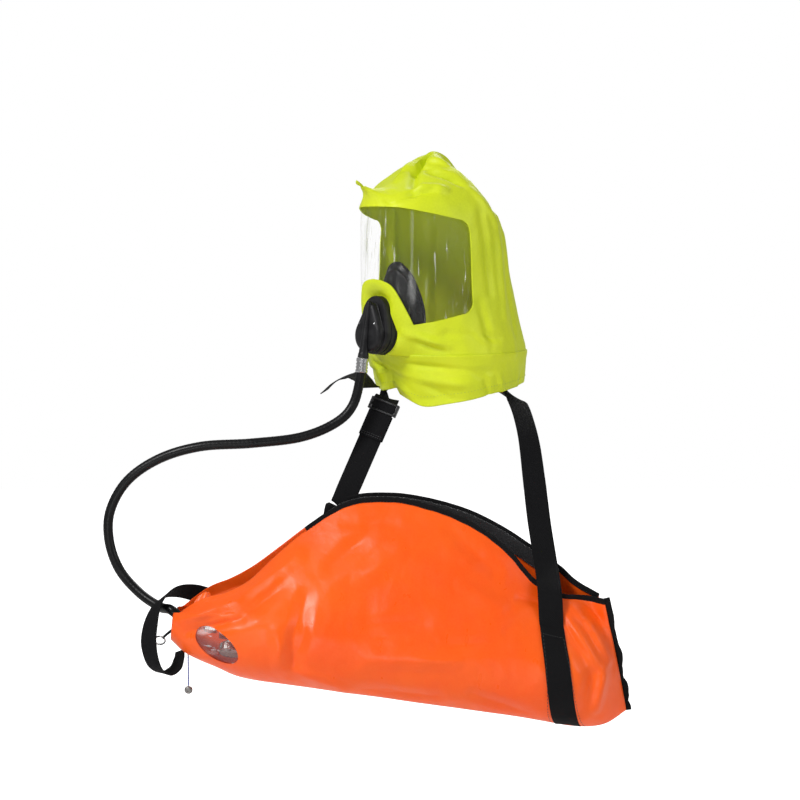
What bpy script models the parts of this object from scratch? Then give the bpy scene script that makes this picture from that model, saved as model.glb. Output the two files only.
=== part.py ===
"""An escape smoke hood: hood with visor, inner mask and demand valve, on a hose from a slung cylinder bag.

The origin is the centre of the wearer's neck. +Z is up, the wearer's body faces -Y, and +X is the wearer's
left. The hood is worn turned to the wearer's right. Lengths below are millimetres, and mm() makes metres.
"""

import math

import bmesh
import bpy
from mathutils import Matrix, Vector

MM = 0.001
GAP = 0.4  # clearance between touching pieces

# Hood
HOOD_TURN = math.radians(-45)  # the hood faces this way, from straight ahead
FABRIC = 1.2
FILM = 0.9
HOOD_STATIONS = (  # height, half width, reach forward, reach backward
    (-24, 92, 72, 120),
    (-4, 95, 79, 124),
    (29, 96, 89, 124),
    (60, 92, 106, 116),
    (92, 88, 115, 105),
    (130, 84, 120, 92),
    (172, 82, 122, 84),
    (206, 77, 124, 76),
)
HOOD_ANGLES = (0, 11, 22, 34, 48, 64, 82, 100, 118, 136, 154, 168, 180)
RIDGE = (  # reach forward and height of the top seam, from the peak over the visor to the nape
    (151, 247), (138, 241), (121, 238), (101, 241), (70, 255), (40, 274), (16, 287),
    (-8, 282), (-26, 268), (-42, 254), (-56, 240), (-66, 228), (-73, 218),
)
HEM = (-19, -25, -31, -33, -31, -27, -21, -15, -11, -9, -7, -7, -7)  # height of the hem at each angle
NECK_SEAL = (  # height, share of the way from the wall to the neck, gap to the wall
    (26, 0.0, 3.2), (23, 0.35, 3.2), (17, 0.75, 3.2), (10, 1.0, 0), (-2, 1.04, 0),
)
NECK_R = 60
HEM_FAR = 0.35  # the hem hangs this share as low on the far shoulder
SEAM_Z = 29.5  # where the skirt joins the hood

# Visor window: the side outline (reach forward, height) and the front arch (half width, height)
WINDOW_BACK, WINDOW_TOP_BACK, WINDOW_TOP_FRONT = 30, 201, 219
WINDOW_LOW_BACK, WINDOW_LOW_FRONT, WINDOW_CORNER = 83, 66, 16
ARCH = ((47, 60), (46, 70), (41, 86), (33, 106), (25, 119), (13, 125), (0, 127))
FILM_LAP = 6  # how far the film runs under the fabric

# Demand valve, in its own frame: +X is the wearer's left, -Y is forward, +Z is up
VALVE_REACH, VALVE_Z, VALVE_LEAN = 118, 70, math.radians(-7)
HOUSING_LOWER, HOUSING_UPPER = (26, -11), (20, 16)  # radius and height of the two ends of the outline
COVER_LOWER, COVER_UPPER = (21.5, -13), (8.5, 17)
HOUSING_WALL = 2.5
STEM_TOP, STEM_BOTTOM = 29, -43
DIAPHRAGM_R, DIAPHRAGM_Z = 16.5, -12
LEVER_LENGTH, LEVER_PIVOT = 20, (0, 1.5, 11)
EXHALE_R = 10

# Hose and its crimped ferrules
HOSE_R, FERRULE_R, FERRULE_LENGTH = 6.0, 7.0, 18

# Bag frame: u runs along the cylinder towards the wearer's left, v across it upwards, n towards the front
BAG_CENTRE, BAG_TILT = Vector((-50, -175, -322)), math.radians(8)
CLOTH = 1.2
BACK_FLAT = -60 * math.cos(math.radians(20))  # the back panel is flat here, where it lies on the chest
BAG_STATIONS = (  # u, bottom, front mouth, back mouth, front bulge, back bulge, front mouth n, back mouth n
    (-279, -26, 2, 4, 19, -19, 13, -18),
    (-262, -38, 20, 22, 27, -27, 18, -26),
    (-243, -45, 34, 38, 36, -38, 20, -36),
    (-220, -51, 42, 50, 45, -48, 12, -44),
    (-195, -58, 58, 68, 54, -57, 0, -50),
    (-166, -60, 92, 96, 58, -60, -14, -54),
    (-136, -60, 124, 126, 58, -60, -26, -56),
    (-91, -60, 160, 163, 58, -60, -36, -58),
    (-39, -60, 173, 176, 58, -60, -38, BACK_FLAT),
    (10, -60, 171, 176, 58, -60, -34, BACK_FLAT),
    (62, -60, 159, 168, 58, -60, -26, BACK_FLAT),
    (108, -60, 136, 152, 58, -60, -16, BACK_FLAT),
    (146, -60, 104, 134, 58, -60, -6, -52),
    (180, -61, 91, 117, 58, -58, -4, -44),
    (206, -62, 90, 104, 56, -52, -8, -34),
    (228, -56, 90, 97, 36, -38, -12, -24),
    (248, -36, 91, 93, 3, -7, -1, -6),
)
END_SLANT, END_SLANT_FROM = 0.35, 183  # the closed end leans, so its seam is longer at the bottom
WINDOW_CENTRE, WINDOW_TILT = (-221, -17), math.radians(-28)
SECTION_ANGLES = (-90, -68, -46, -24, -2, 20)
SECTION_RISE = (0.25, 0.5, 0.75, 1.0)

# Cylinder group, in the bag frame
CYLINDER_R, CYLINDER_BASE_U, CYLINDER_NECK_U, CYLINDER_WALL = 52, 205, -150, 5
BODY_R, BODY_END_U = 17, -222
GAUGE_U, GAUGE_DIRECTION = -206, (0.0, -0.8, 0.6)  # the gauge looks out of the window: u, v, n
GAUGE_R, GAUGE_STEM = 14, 28
OUTLET_END_U = -246
PIN_U = -192

# Seal, hung from the bag's left end
SEAL_TOP, SEAL_CORD = (-310, -178, -328.5), 37.5

# Webbing
WEB, WEB_WIDTH = 1.4, 30
SLIDER_AT = 11  # down the strap from STRAP_TOP

PAINTS = {  # colour, roughness, metallic, alpha
    "hood_fabric": ((0.62, 0.85, 0.02), 0.55, 0.0, 1.0),
    "visor_film": ((0.92, 0.95, 0.9), 0.08, 0.0, 0.25),
    "seal_rubber": ((0.03, 0.03, 0.03), 0.7, 0.0, 1.0),
    "valve_plastic": ((0.02, 0.02, 0.022), 0.45, 0.0, 1.0),
    "bright_steel": ((0.7, 0.7, 0.7), 0.3, 1.0, 1.0),
    "silicone": ((0.06, 0.06, 0.065), 0.6, 0.0, 1.0),
    "brass": ((0.72, 0.55, 0.25), 0.35, 1.0, 1.0),
    "mask_rubber": ((0.025, 0.025, 0.028), 0.5, 0.0, 1.0),
    "hose_rubber": ((0.02, 0.02, 0.02), 0.45, 0.0, 1.0),
    "bag_fabric": ((0.95, 0.22, 0.02), 0.4, 0.0, 1.0),
    "binding_tape": ((0.02, 0.02, 0.02), 0.8, 0.0, 1.0),
    "window_film": ((0.9, 0.92, 0.92), 0.1, 0.0, 0.3),
    "cylinder_paint": ((0.45, 0.46, 0.47), 0.4, 0.0, 1.0),
    "plated_brass": ((0.75, 0.75, 0.76), 0.25, 1.0, 1.0),
    "cap_plastic": ((0.5, 0.03, 0.03), 0.5, 0.0, 1.0),
    "dial_white": ((0.9, 0.9, 0.88), 0.5, 0.0, 1.0),
    "gauge_lens": ((0.9, 0.95, 0.95), 0.05, 0.0, 0.25),
    "needle_black": ((0.02, 0.02, 0.02), 0.5, 0.0, 1.0),
    "webbing": ((0.02, 0.02, 0.022), 0.75, 0.0, 1.0),
    "slider_plastic": ((0.03, 0.03, 0.03), 0.4, 0.0, 1.0),
    "cord_blue": ((0.03, 0.06, 0.35), 0.6, 0.0, 1.0),
    "lead_seal": ((0.45, 0.44, 0.43), 0.4, 1.0, 1.0),
}
STRAP_TOP, STRAP_FOOT = Vector((-68, -77, -24)), Vector((-127, -107, -158))


def mm(x, y, z):
    return Vector((x, y, z)) * MM


def bag_point(u, v, n):
    """A point of the bag frame, in the row frame."""
    along = Vector((math.cos(BAG_TILT), 0, -math.sin(BAG_TILT)))
    across = Vector((math.sin(BAG_TILT), 0, math.cos(BAG_TILT)))
    return (BAG_CENTRE + along * u + across * v + Vector((0, -1, 0)) * n) * MM


def paint(name):
    """The material of this name, made the first time that it's asked for."""
    made = bpy.data.materials.get(name)
    if made:
        return made
    colour, roughness, metallic, alpha = PAINTS[name]
    made = bpy.data.materials.new(name)
    made.use_nodes = True
    shader = made.node_tree.nodes["Principled BSDF"]
    shader.inputs["Base Color"].default_value = (*colour, 1.0)
    shader.inputs["Roughness"].default_value = roughness
    shader.inputs["Metallic"].default_value = metallic
    shader.inputs["Alpha"].default_value = alpha
    return made


def clear_scene():
    for obj in list(bpy.data.objects):
        bpy.data.objects.remove(obj, do_unlink=True)


def collection(name):
    made = bpy.data.collections.new(name)
    bpy.context.scene.collection.children.link(made)
    return made


def frame(name, location, rotation, parent=None):
    """An empty that carries the pieces of one sub-assembly."""
    empty = bpy.data.objects.new(name, None)
    PARTS.objects.link(empty)
    empty.location = location
    empty.rotation_euler = rotation
    empty.parent = parent
    return empty


def keep(obj, surface, parent=None, smooth=40):
    """Files a finished object under the smoke hood's collection."""
    for home in list(obj.users_collection):
        home.objects.unlink(obj)
    PARTS.objects.link(obj)
    obj.data.materials.clear()
    obj.data.materials.append(surface)
    obj.parent = parent
    if obj.type == "MESH":
        obj.data.shade_smooth()
        obj.data.set_sharp_from_angle(angle=math.radians(smooth))
    return obj


def pivot(obj, point):
    """Puts an object's origin on its joint's axis, and leaves its shape where it is."""
    obj.data.transform(Matrix.Translation(-point))
    obj.location = point


def cutter(obj, parent=None):
    for home in list(obj.users_collection):
        home.objects.unlink(obj)
    CUTTERS.objects.link(obj)
    obj.hide_render = True
    obj.display_type = "WIRE"
    obj.parent = parent
    return obj


def mesh_object(name, build):
    """An object whose mesh is made by build(bm)."""
    mesh = bpy.data.meshes.new(name)
    bm = bmesh.new()
    build(bm)
    bmesh.ops.recalc_face_normals(bm, faces=bm.faces)
    bm.to_mesh(mesh)
    bm.free()
    obj = bpy.data.objects.new(name, mesh)
    bpy.context.scene.collection.objects.link(obj)
    return obj


def boolean(obj, other, operation="DIFFERENCE"):
    step = obj.modifiers.new(operation.title(), "BOOLEAN")
    step.operation = operation
    step.object = other
    step.solver = "EXACT"


def sheet(name, rows, thickness, surface, parent=None, offset=1.0, closed=False, mirror=False, flip=False):
    """A grid of points as an open surface, thickened. A closed grid wraps its rows round."""

    def build(bm):
        grid = [[bm.verts.new(p) for p in row] for row in rows]
        width = len(rows[0])
        for low, high in zip(grid, grid[1:]):
            for k in range(width if closed else width - 1):
                corners = [low[k], low[(k + 1) % width], high[(k + 1) % width], high[k]]
                bm.faces.new(corners[::-1] if flip else corners)

    mesh = bpy.data.meshes.new(name)
    bm = bmesh.new()
    build(bm)
    bm.to_mesh(mesh)
    bm.free()
    obj = bpy.data.objects.new(name, mesh)
    bpy.context.scene.collection.objects.link(obj)
    if mirror:
        half = obj.modifiers.new("Mirror", "MIRROR")
        half.use_axis = (True, False, False)
        half.merge_threshold = 0.0001
    skin = obj.modifiers.new("Solidify", "SOLIDIFY")
    skin.thickness = thickness * MM
    skin.offset = offset
    return keep(obj, surface, parent)


def loft(name, rings, surface=None, parent=None):
    """A closed solid through rings of equal point counts, with flat ends."""

    def build(bm):
        loops = [[bm.verts.new(p) for p in ring] for ring in rings]
        count = len(rings[0])
        for low, high in zip(loops, loops[1:]):
            for k in range(count):
                bm.faces.new([low[k], low[(k + 1) % count], high[(k + 1) % count], high[k]])
        bm.faces.new(loops[0][::-1])
        bm.faces.new(loops[-1])

    obj = mesh_object(name, build)
    return keep(obj, surface, parent) if surface else obj


def cylinder(name, radius, start, end, top_radius=None, sides=20):
    """A round bar or cone from start to end, in millimetres."""
    start, end = Vector(start), Vector(end)
    axis = end - start

    def build(bm):
        turn = Vector((0, 0, 1)).rotation_difference(axis).to_matrix().to_4x4()
        bmesh.ops.create_cone(
            bm,
            cap_ends=True,
            segments=sides,
            radius1=radius * MM,
            radius2=(radius if top_radius is None else top_radius) * MM,
            depth=axis.length * MM,
            matrix=Matrix.Translation((start + end) / 2 * MM) @ turn,
        )

    return mesh_object(name, build)


def turned(name, profile, surface, parent=None, sides=24, location=(0, 0, 0), axis=(0, 0, 1)):
    """A profile of (radius, height) turned about its own axis, which is then laid along axis."""
    obj = mesh_object(name, lambda bm: profile_edges(bm, profile))
    screw = obj.modifiers.new("Screw", "SCREW")
    screw.axis = "Z"
    screw.steps = sides
    screw.render_steps = sides
    screw.use_merge_vertices = True
    screw.merge_threshold = 0.00001
    screw.use_smooth_shade = False
    keep(obj, surface, parent)
    obj.location = Vector(location) * MM
    obj.rotation_euler = Vector((0, 0, 1)).rotation_difference(Vector(axis)).to_euler()
    return obj


def profile_edges(bm, profile):
    points = [bm.verts.new(mm(radius, 0, height)) for radius, height in profile]
    for a, b in zip(points, points[1:]):
        bm.edges.new((a, b))
    if profile[0][0] > 0 and profile[-1][0] > 0:
        bm.edges.new((points[-1], points[0]))


def tube(name, points, radius, surface, parent=None, resolution=2):
    """A round cord through points given in metres."""
    curve = bpy.data.curves.new(name, "CURVE")
    curve.dimensions = "3D"
    curve.bevel_depth = radius * MM
    curve.bevel_resolution = resolution
    curve.use_fill_caps = True
    line = curve.splines.new("POLY")
    line.points.add(len(points) - 1)
    for point, place in zip(line.points, points):
        point.co = (*place, 1.0)
    obj = bpy.data.objects.new(name, curve)
    bpy.context.scene.collection.objects.link(obj)
    return keep(obj, surface, parent)


def smooth_path(route, count):
    """count points along a smooth curve through the route's own points, evenly spaced."""
    points = [route[0] * 2 - route[1], *route, route[-1] * 2 - route[-2]]
    fine = []
    for a, b, c, d in zip(points, points[1:], points[2:], points[3:]):
        for step in range(24):
            t = step / 24
            fine.append(0.5 * (2 * b + (c - a) * t + (2 * a - 5 * b + 4 * c - d) * t**2
                               + (3 * b - a - 3 * c + d) * t**3))
    fine.append(route[-1].copy())
    reach = [0.0]
    for a, b in zip(fine, fine[1:]):
        reach.append(reach[-1] + (b - a).length)
    spaced, k = [], 0
    for i in range(count):
        wanted = reach[-1] * i / (count - 1)
        while k < len(reach) - 2 and reach[k + 1] < wanted:
            k += 1
        share = (wanted - reach[k]) / max(reach[k + 1] - reach[k], 1e-9)
        spaced.append(fine[k].lerp(fine[k + 1], min(1.0, share)))
    return spaced


def ease(table, x, column):
    """A column of a table of stations, read smoothly at x."""
    for low, high in zip(table, table[1:]):
        if x <= high[0] or high is table[-1]:
            share = min(1.0, max(0.0, (x - low[0]) / (high[0] - low[0])))
            return low[column] + (high[column] - low[column]) * share
    return table[-1][column]


# ---------------------------------------------------------------- hood


def hood_ring(height, angle, inset=0.0):
    """A point of the hood's wall, in the hood frame: -Y is forward and +X is the wearer's left."""
    width = ease(HOOD_STATIONS, height, 1) - inset
    front = ease(HOOD_STATIONS, height, 2) - inset
    back = ease(HOOD_STATIONS, height, 3) - inset
    turn = math.radians(angle)
    reach = front if math.cos(turn) > 0 else back
    side = 0.0 if angle in (0, 180) else width * math.sin(turn)
    return mm(side, -reach * math.cos(turn), height)


def hood_crown_rows(inset=0.0):
    """Rows that close from the last ring to the top seam."""
    rows = []
    for share in (0.3, 0.6, 0.85, 1.0):
        row = []
        for angle, (forward, height) in zip(HOOD_ANGLES, RIDGE):
            start = hood_ring(HOOD_STATIONS[-1][0], angle, inset)
            end = mm(0, -forward + math.copysign(inset, forward), height - 1.5 * inset)
            shoulder = start + Vector((0, 0, (end.z - start.z) * 0.75))
            row.append(start * (1 - share) ** 2 + shoulder * 2 * share * (1 - share) + end * share**2)
        rows.append(row)
    return rows


def hood_rows(low, inset=0.0):
    heights = [low] + [station[0] for station in HOOD_STATIONS if station[0] > low + 1]
    return [[hood_ring(z, a, inset) for a in HOOD_ANGLES] for z in heights] + hood_crown_rows(inset)


def side_outline(lap):
    """The window seen from the side, lap wider all round: (reach forward, height)."""
    corner = WINDOW_CORNER
    back, top, low = WINDOW_BACK - lap, WINDOW_TOP_BACK + lap, WINDOW_LOW_BACK - lap
    points = [(170, WINDOW_LOW_FRONT - 12 - lap), (112, WINDOW_LOW_FRONT - lap)]
    for step in range(6):
        turn = math.radians(270 - 18 * step)
        points.append((back + corner + corner * math.cos(turn), low + corner + corner * math.sin(turn)))
    for step in range(6):
        turn = math.radians(180 - 18 * step)
        points.append((back + corner + corner * math.cos(turn), top - corner + corner * math.sin(turn)))
    points += [(112, WINDOW_TOP_FRONT - 3 + lap), (170, WINDOW_TOP_FRONT + lap)]
    return points


def window_cutter(name, lap, parent):
    """The window's outline across the whole hood, less the arch of fabric round the valve."""
    outline = side_outline(lap)
    block = loft(name, [[mm(x, -f, z) for f, z in outline] for x in (-120, 120)])
    half = [(w - lap if w else 0, z - lap) for w, z in ARCH]
    arch = [(-w, z) for w, z in half] + [(w, z) for w, z in reversed(half[:-1])]
    low = [(half[0][0], -20), (-half[0][0], -20)]
    front = loft(name + "_arch", [[mm(x, y, z) for x, z in arch + low] for y in (-190, -60)])
    cutter(front, parent)
    boolean(block, front)
    return cutter(block, parent)


def make_hood(parent):
    yellow = paint("hood_fabric")
    shell = sheet("hood_shell", hood_rows(SEAM_Z + 0.3), FABRIC, yellow, parent, mirror=True)
    boolean(shell, window_cutter("window_cut", 0, parent))
    rings = [pear(HOUSING_LOWER, HOUSING_UPPER, y, 0.6) for y in (60, -30)]
    boolean(shell, cutter(loft("valve_hole", rings), valve_frame))
    film = paint("visor_film")
    visor_rows = hood_rows(SEAM_Z + 8, inset=1.0)
    visor = sheet("visor", visor_rows, FILM, film, parent, offset=-1.0, mirror=True)
    boolean(visor, window_cutter("film_cut", FILM_LAP, parent), "INTERSECT")
    around = [(a, low, 1) for a, low in zip(HOOD_ANGLES, HEM)]
    for a, low in zip(HOOD_ANGLES[-2:0:-1], HEM[-2:0:-1]):
        around.append((a, HEM[-1] + (low - HEM[-1]) * HEM_FAR, -1))
    rows = []
    for share in (0, 0.33, 0.66, 1.0):
        row = []
        for a, low, side in around:
            row.append(flipped(hood_ring(SEAM_Z - 0.3 + (low - SEAM_Z) * share, a), side))
        rows.append(row)
    sheet("hood_skirt", rows, FABRIC, yellow, parent, offset=-1.0, closed=True)
    make_neck_seal(parent)


def flipped(point, side):
    return Vector((point.x * side, point.y, point.z))


def make_neck_seal(parent):
    """The elastic collar that closes round the neck, hung from the hood's wall."""
    rubber = paint("seal_rubber")
    angles = [15 * k for k in range(24)]
    rows = []
    for height, share, inset in NECK_SEAL:
        row = []
        for angle in angles:
            around = angle if angle <= 180 else 360 - angle
            wall = hood_ring(height, around, inset)
            wall.x *= 1 if angle <= 180 else -1
            turn = math.radians(angle)
            neck = mm(NECK_R * math.sin(turn), -NECK_R * math.cos(turn), height)
            row.append(wall.lerp(neck, share))
        rows.append(row)
    sheet("neck_seal", rows, 1.0, rubber, parent, offset=0.0, closed=True)


# ---------------------------------------------------------------- demand valve and inner mask


def pear(lower, upper, y, grow=0.0, count=28):
    """The outline round a lower and an upper circle, at reach -y in the valve frame."""
    points = []
    for k in range(count):
        turn = 2 * math.pi * (k + 0.5) / count
        out = (math.cos(turn), math.sin(turn))
        (r1, z1), (r2, z2) = lower, upper
        radius, centre = (r1, z1) if r1 + z1 * out[1] > r2 + z2 * out[1] else (r2, z2)
        radius += grow
        points.append(mm(radius * out[0], y, centre + radius * out[1]))
    return points


def make_valve(parent):
    black = paint("valve_plastic")
    steel = paint("bright_steel")
    rings = [pear(HOUSING_LOWER, HOUSING_UPPER, y, g) for y, g in ((21, -1), (19, 0), (-2, 0), (-4, -1.5))]
    housing = loft("valve_housing", rings, black, parent)
    pocket = [pear(HOUSING_LOWER, HOUSING_UPPER, y, -3) for y in (30, 14)]
    boolean(housing, cutter(loft("housing_pocket", pocket), parent))
    hollow = [pear(HOUSING_LOWER, HOUSING_UPPER, y, -HOUSING_WALL - 1.5) for y in (11, -2.6)]
    boolean(housing, cutter(loft("housing_hollow", hollow), parent))
    mouth = [pear(COVER_LOWER, COVER_UPPER, y, -2) for y in (0, -10)]
    boolean(housing, cutter(loft("housing_mouth", mouth), parent))
    throat = cylinder("housing_throat", 15, (0, 20, -2), (0, 5, -2), sides=24)
    boolean(housing, cutter(throat, parent))
    make_cover(parent, black, steel)
    make_inside(parent, steel)
    make_mask(parent)


def make_cover(parent, black, steel):
    """The pear-shaped front with the hose stem moulded on it."""
    steps = ((-4.4, 1.5), (-9, 1.0), (-12.5, -0.5), (-14.2, -4))
    rings = [pear(COVER_LOWER, COVER_UPPER, y, g) for y, g in steps]
    cover = loft("valve_cover", rings, black, parent)
    dish = [pear(COVER_LOWER, COVER_UPPER, y, -3) for y in (-2, -9.5)]
    boolean(cover, cutter(loft("cover_dish", dish), parent))
    stem = cylinder("stem", 3.3, (0, -13, STEM_TOP), (0, -15.5, STEM_BOTTOM), 6.2)
    boolean(cover, cutter(stem, parent), "UNION")
    for side in (-1, 1):
        head = (12 * side, -13.2, 0)
        seat = cylinder(f"screw_seat_{side}", 2.9, (head[0], -12.2, 0), (head[0], -18, 0), sides=16)
        boolean(cover, cutter(seat, parent))
        name = "cover_screw_right" if side < 0 else "cover_screw_left"
        screw = cylinder(name, 2.4, (head[0], -12.6, 0), (head[0], -14.4, 0), 2.0, sides=16)
        keep(screw, steel, parent)


def make_inside(parent, steel):
    """Diaphragm, demand lever, inlet poppet and exhalation disc."""
    soft = paint("silicone")
    brass = paint("brass")
    turned(
        "diaphragm",
        ((0, 1.2), (7, 1.2), (7.5, 0.6), (DIAPHRAGM_R, 0.6), (DIAPHRAGM_R, 0), (0, 0)),
        soft, parent, 24, (0, -7.4, DIAPHRAGM_Z), (0, -1, 0),
    )
    hinge = Vector(LEVER_PIVOT)
    lever = cylinder("demand_lever", 1.2, hinge, hinge + Vector((0, -6.8, -LEVER_LENGTH)), sides=10)
    keep(lever, steel, parent)
    side = Vector((1, 0, 0))
    lever_axis = cylinder("lever_bore", 1.25, hinge - side * 6, hinge + side * 6, sides=12)
    hub = cylinder("lever_hub", 2.4, hinge - side * 3, hinge + side * 3, sides=12)
    boolean(lever, cutter(hub, parent), "UNION")
    boolean(lever, cutter(lever_axis, parent))
    pivot(lever, hinge * MM)
    pin = cylinder("lever_pin", 0.85, hinge - side * 8, hinge + side * 8, sides=12)
    keep(pin, steel, parent)
    turned(
        "inlet_seat",
        ((2.2, 7.0), (4, 7.0), (4, 0), (2.2, 0)),
        brass, parent, 16, (0, 1.5, 19), (0, 0, 1),
    )
    turned("poppet", ((0, 6.4), (1.6, 6.4), (1.6, 0), (0, 0)), brass, parent, 12, (0, 1.5, 14.4), (0, 0, 1))
    turned(
        "exhale_seat",
        ((11, 3.0), (14.4, 3.0), (14.4, 0), (7, 0), (7, 1.2), (11, 1.2)),
        paint("valve_plastic"), parent, 24, (0, 13.2, -2), (0, -1, 0),
    )
    turned(
        "exhale_disc",
        ((0, 0.9), (EXHALE_R, 0.9), (EXHALE_R, 0), (0, 0)),
        soft, parent, 24, (0, 11.5, -2), (0, -1, 0),
    )


def make_mask(parent):
    """The black rubber cup over nose and mouth, open towards the face."""
    rubber = paint("mask_rubber")
    rows = []
    sections = (
        (15.2, -2, 14.6, 14.6, 14.6, 0), (21.5, -2, 14.8, 14.8, 14.8, 0), (27, 1, 21, 23, 21, 0.2),
        (36, 6, 30, 39, 30, 0.4), (45, 10, 38, 55, 39, 0.42), (53, 12, 43, 66, 44, 0.42),
    )
    for back, centre, wide, up, down, narrow in sections:
        row = []
        for k in range(24):
            turn = 2 * math.pi * k / 24
            side, rise = math.sin(turn), math.cos(turn)
            pinch = 1 - narrow * max(0.0, rise) ** 1.5
            tall = up if rise > 0 else down
            lean = narrow * 0.24 * rise * tall
            row.append(mm(wide * side * pinch, back - lean, centre + tall * rise))
        rows.append(row)
    sheet("inner_mask", rows, 2.0, rubber, parent, offset=0.0, closed=True)
    turned(
        "mask_clamp",
        ((16.4, 3), (18.6, 3), (18.6, 0), (16.4, 0)),
        paint("valve_plastic"), parent, 24, (0, 20.5, -2), (0, -1, 0),
    )


# ---------------------------------------------------------------- hose


def valve_point(x, y, z):
    """A point of the valve frame, in the row frame."""
    hood = Matrix.Rotation(HOOD_TURN, 4, "Z")
    lean = Matrix.Translation(mm(0, -VALVE_REACH, VALVE_Z)) @ Matrix.Rotation(VALVE_LEAN, 4, "X")
    return (hood @ lean) @ mm(x, y, z)


def hose_route():
    """From the crimp under the valve, out in a wide bow past the shoulder, and back into the bag's end."""
    start = valve_point(0, -15.6, STEM_BOTTOM - GAP)
    below = valve_point(0, -16.2, STEM_BOTTOM - FERRULE_LENGTH)
    loose = (
        (-110, -104, -28), (-132, -110, -51), (-175, -117, -68), (-236, -122, -75), (-298, -122, -79),
        (-349, -120, -94), (-389, -120, -121), (-411, -121, -158), (-413, -124, -195), (-400, -130, -231),
        (-374, -142, -258), (-347, -156, -273),
    )
    inlet = ((-286, 9, -3), (-273, 2, -1), (-265, 0, 0), (-256, 0, 0), (OUTLET_END_U - GAP, 0, 0))
    return [start, below] + [mm(*p) for p in loose] + [bag_point(*p) for p in inlet]


def make_hose(parent_valve, parent_bag):
    rubber = paint("hose_rubber")
    steel = paint("bright_steel")
    tube("breathing_hose", smooth_path(hose_route(), 40), HOSE_R, rubber)
    bore, rim = HOSE_R + 2 * GAP, FERRULE_R + 0.8
    profile = ((bore, FERRULE_LENGTH), (rim, FERRULE_LENGTH), (rim, 0), (bore, 0))
    foot = (0, -16.2, STEM_BOTTOM - GAP - FERRULE_LENGTH)
    turned("ferrule_upper", profile, steel, parent_valve, 20, foot, (0, 0.008, 1))
    foot = (OUTLET_END_U - GAP - FERRULE_LENGTH, 0, 0)
    turned("ferrule_lower", profile, steel, parent_bag, 20, foot, (1, 0, 0))


# ---------------------------------------------------------------- bag


def bag_section(u, side, grow=0.0):
    """Points (u, v, n) of one panel at station u, from the bottom seam up to the mouth."""
    bottom = ease(BAG_STATIONS, u, 1) - grow
    top = ease(BAG_STATIONS, u, 2 if side > 0 else 3)
    bulge = ease(BAG_STATIONS, u, 4 if side > 0 else 5) + side * grow
    mouth = ease(BAG_STATIONS, u, 6 if side > 0 else 7) + side * grow
    points = []
    for angle in SECTION_ANGLES:
        turn = math.radians(angle)
        points.append((abs(bottom) * math.sin(turn), bulge * math.cos(turn)))
    v0, n0 = points[-1]
    for share in SECTION_RISE:
        bow = math.sin(math.pi * share) * 0.06 * (n0 - mouth)
        points.append((v0 + (top - v0) * share, n0 + (mouth - n0) * share + bow))
    slant = max(0.0, (u - END_SLANT_FROM) / (BAG_STATIONS[-1][0] - END_SLANT_FROM)) * END_SLANT
    return [(u + slant * (60 - v), v, n) for v, n in points]


def panel_rows(side, grow=0.0, seam=0.3):
    rows = []
    for station in BAG_STATIONS:
        points = bag_section(station[0], side, grow)
        u, v, n = points[0]
        points[0] = (u, v, n + side * seam)
        rows.append([bag_point(*p) for p in points])
    return rows


def beside(edge, distance, lift):
    """The edge of a panel moved outward in the plane of u and v, and sideways by lift."""
    points = []
    for k, (u, v, n) in enumerate(edge):
        before, after = edge[max(0, k - 1)], edge[min(len(edge) - 1, k + 1)]
        run, rise = after[0] - before[0], after[1] - before[1]
        length = math.hypot(run, rise)
        points.append((u - rise / length * distance, v + run / length * distance, n + lift))
    (u0, v0, n0), (u1, v1, n1) = points[-2:]
    points[-1] = (u1 + (u0 - u1) * 0.25, v1 + (v0 - v1) * 0.25, n1 + (n0 - n1) * 0.25)
    return [bag_point(*point) for point in points]


def window_spot(along, across):
    """A point of the window's oval, in the bag frame."""
    u, v = WINDOW_CENTRE
    turn = WINDOW_TILT
    u += along * math.cos(turn) - across * math.sin(turn)
    return u, v + along * math.sin(turn) + across * math.cos(turn)


def make_bag():
    orange = paint("bag_fabric")
    tape = paint("binding_tape")
    film = paint("window_film")
    front = sheet("bag_front_panel", panel_rows(1), CLOTH, orange, flip=True)
    sheet("bag_back_panel", panel_rows(-1), CLOTH, orange)
    outline = []
    for k in range(16):
        turn = 2 * math.pi * k / 16
        outline.append(window_spot(30 * math.cos(turn), 17 * math.sin(turn)))
    hole = loft("window_hole", [[bag_point(u, v, n) for u, v in outline] for n in (8, 80)])
    boolean(front, cutter(hole))
    wide = []
    for k in range(16):
        turn = 2 * math.pi * k / 16
        wide.append(window_spot(36 * math.cos(turn), 22 * math.sin(turn)))
    patch = loft("window_patch", [[bag_point(u, v, n) for u, v in wide] for n in (8, 80)])
    window = sheet("gauge_window", panel_rows(1, grow=-1.0, seam=2.0), 0.6, film, offset=-1.0, flip=True)
    boolean(window, cutter(patch), "INTERSECT")
    edges = {
        "mouth_binding_front": [bag_section(s[0], 1)[-1] for s in BAG_STATIONS[6:]],
        "mouth_binding_back": [bag_section(s[0], -1)[-1] for s in BAG_STATIONS[7:]],
    }
    for name, edge in edges.items():
        lift = 1.0 if name.endswith("front") else -1.0
        tube(name, beside(edge, 3.2, lift), 2.6, tape, resolution=1)
    seam = bag_section(BAG_STATIONS[-1][0], 1)
    top = seam[-1]
    seam = seam[:-1] + [(top[0] - 2, top[1] + 6, top[2])]
    tube("end_binding", [bag_point(u + 3.9, v, -3) for u, v, n in seam], 3.4, tape, resolution=1)
    rows = []
    for station in BAG_STATIONS[6:14]:
        u, v, n = bag_section(station[0], -1)[-1]
        low = bag_section(station[0], -1)[-2]
        share = 20 / max(1.0, v - low[1])
        rows.append([bag_point(u, v + 1.5, n + 3), bag_point(u, v - 20, n + (low[2] - n) * share + 3)])
    sheet("mouth_fastener", rows, 1.6, tape, offset=0.0)


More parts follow.
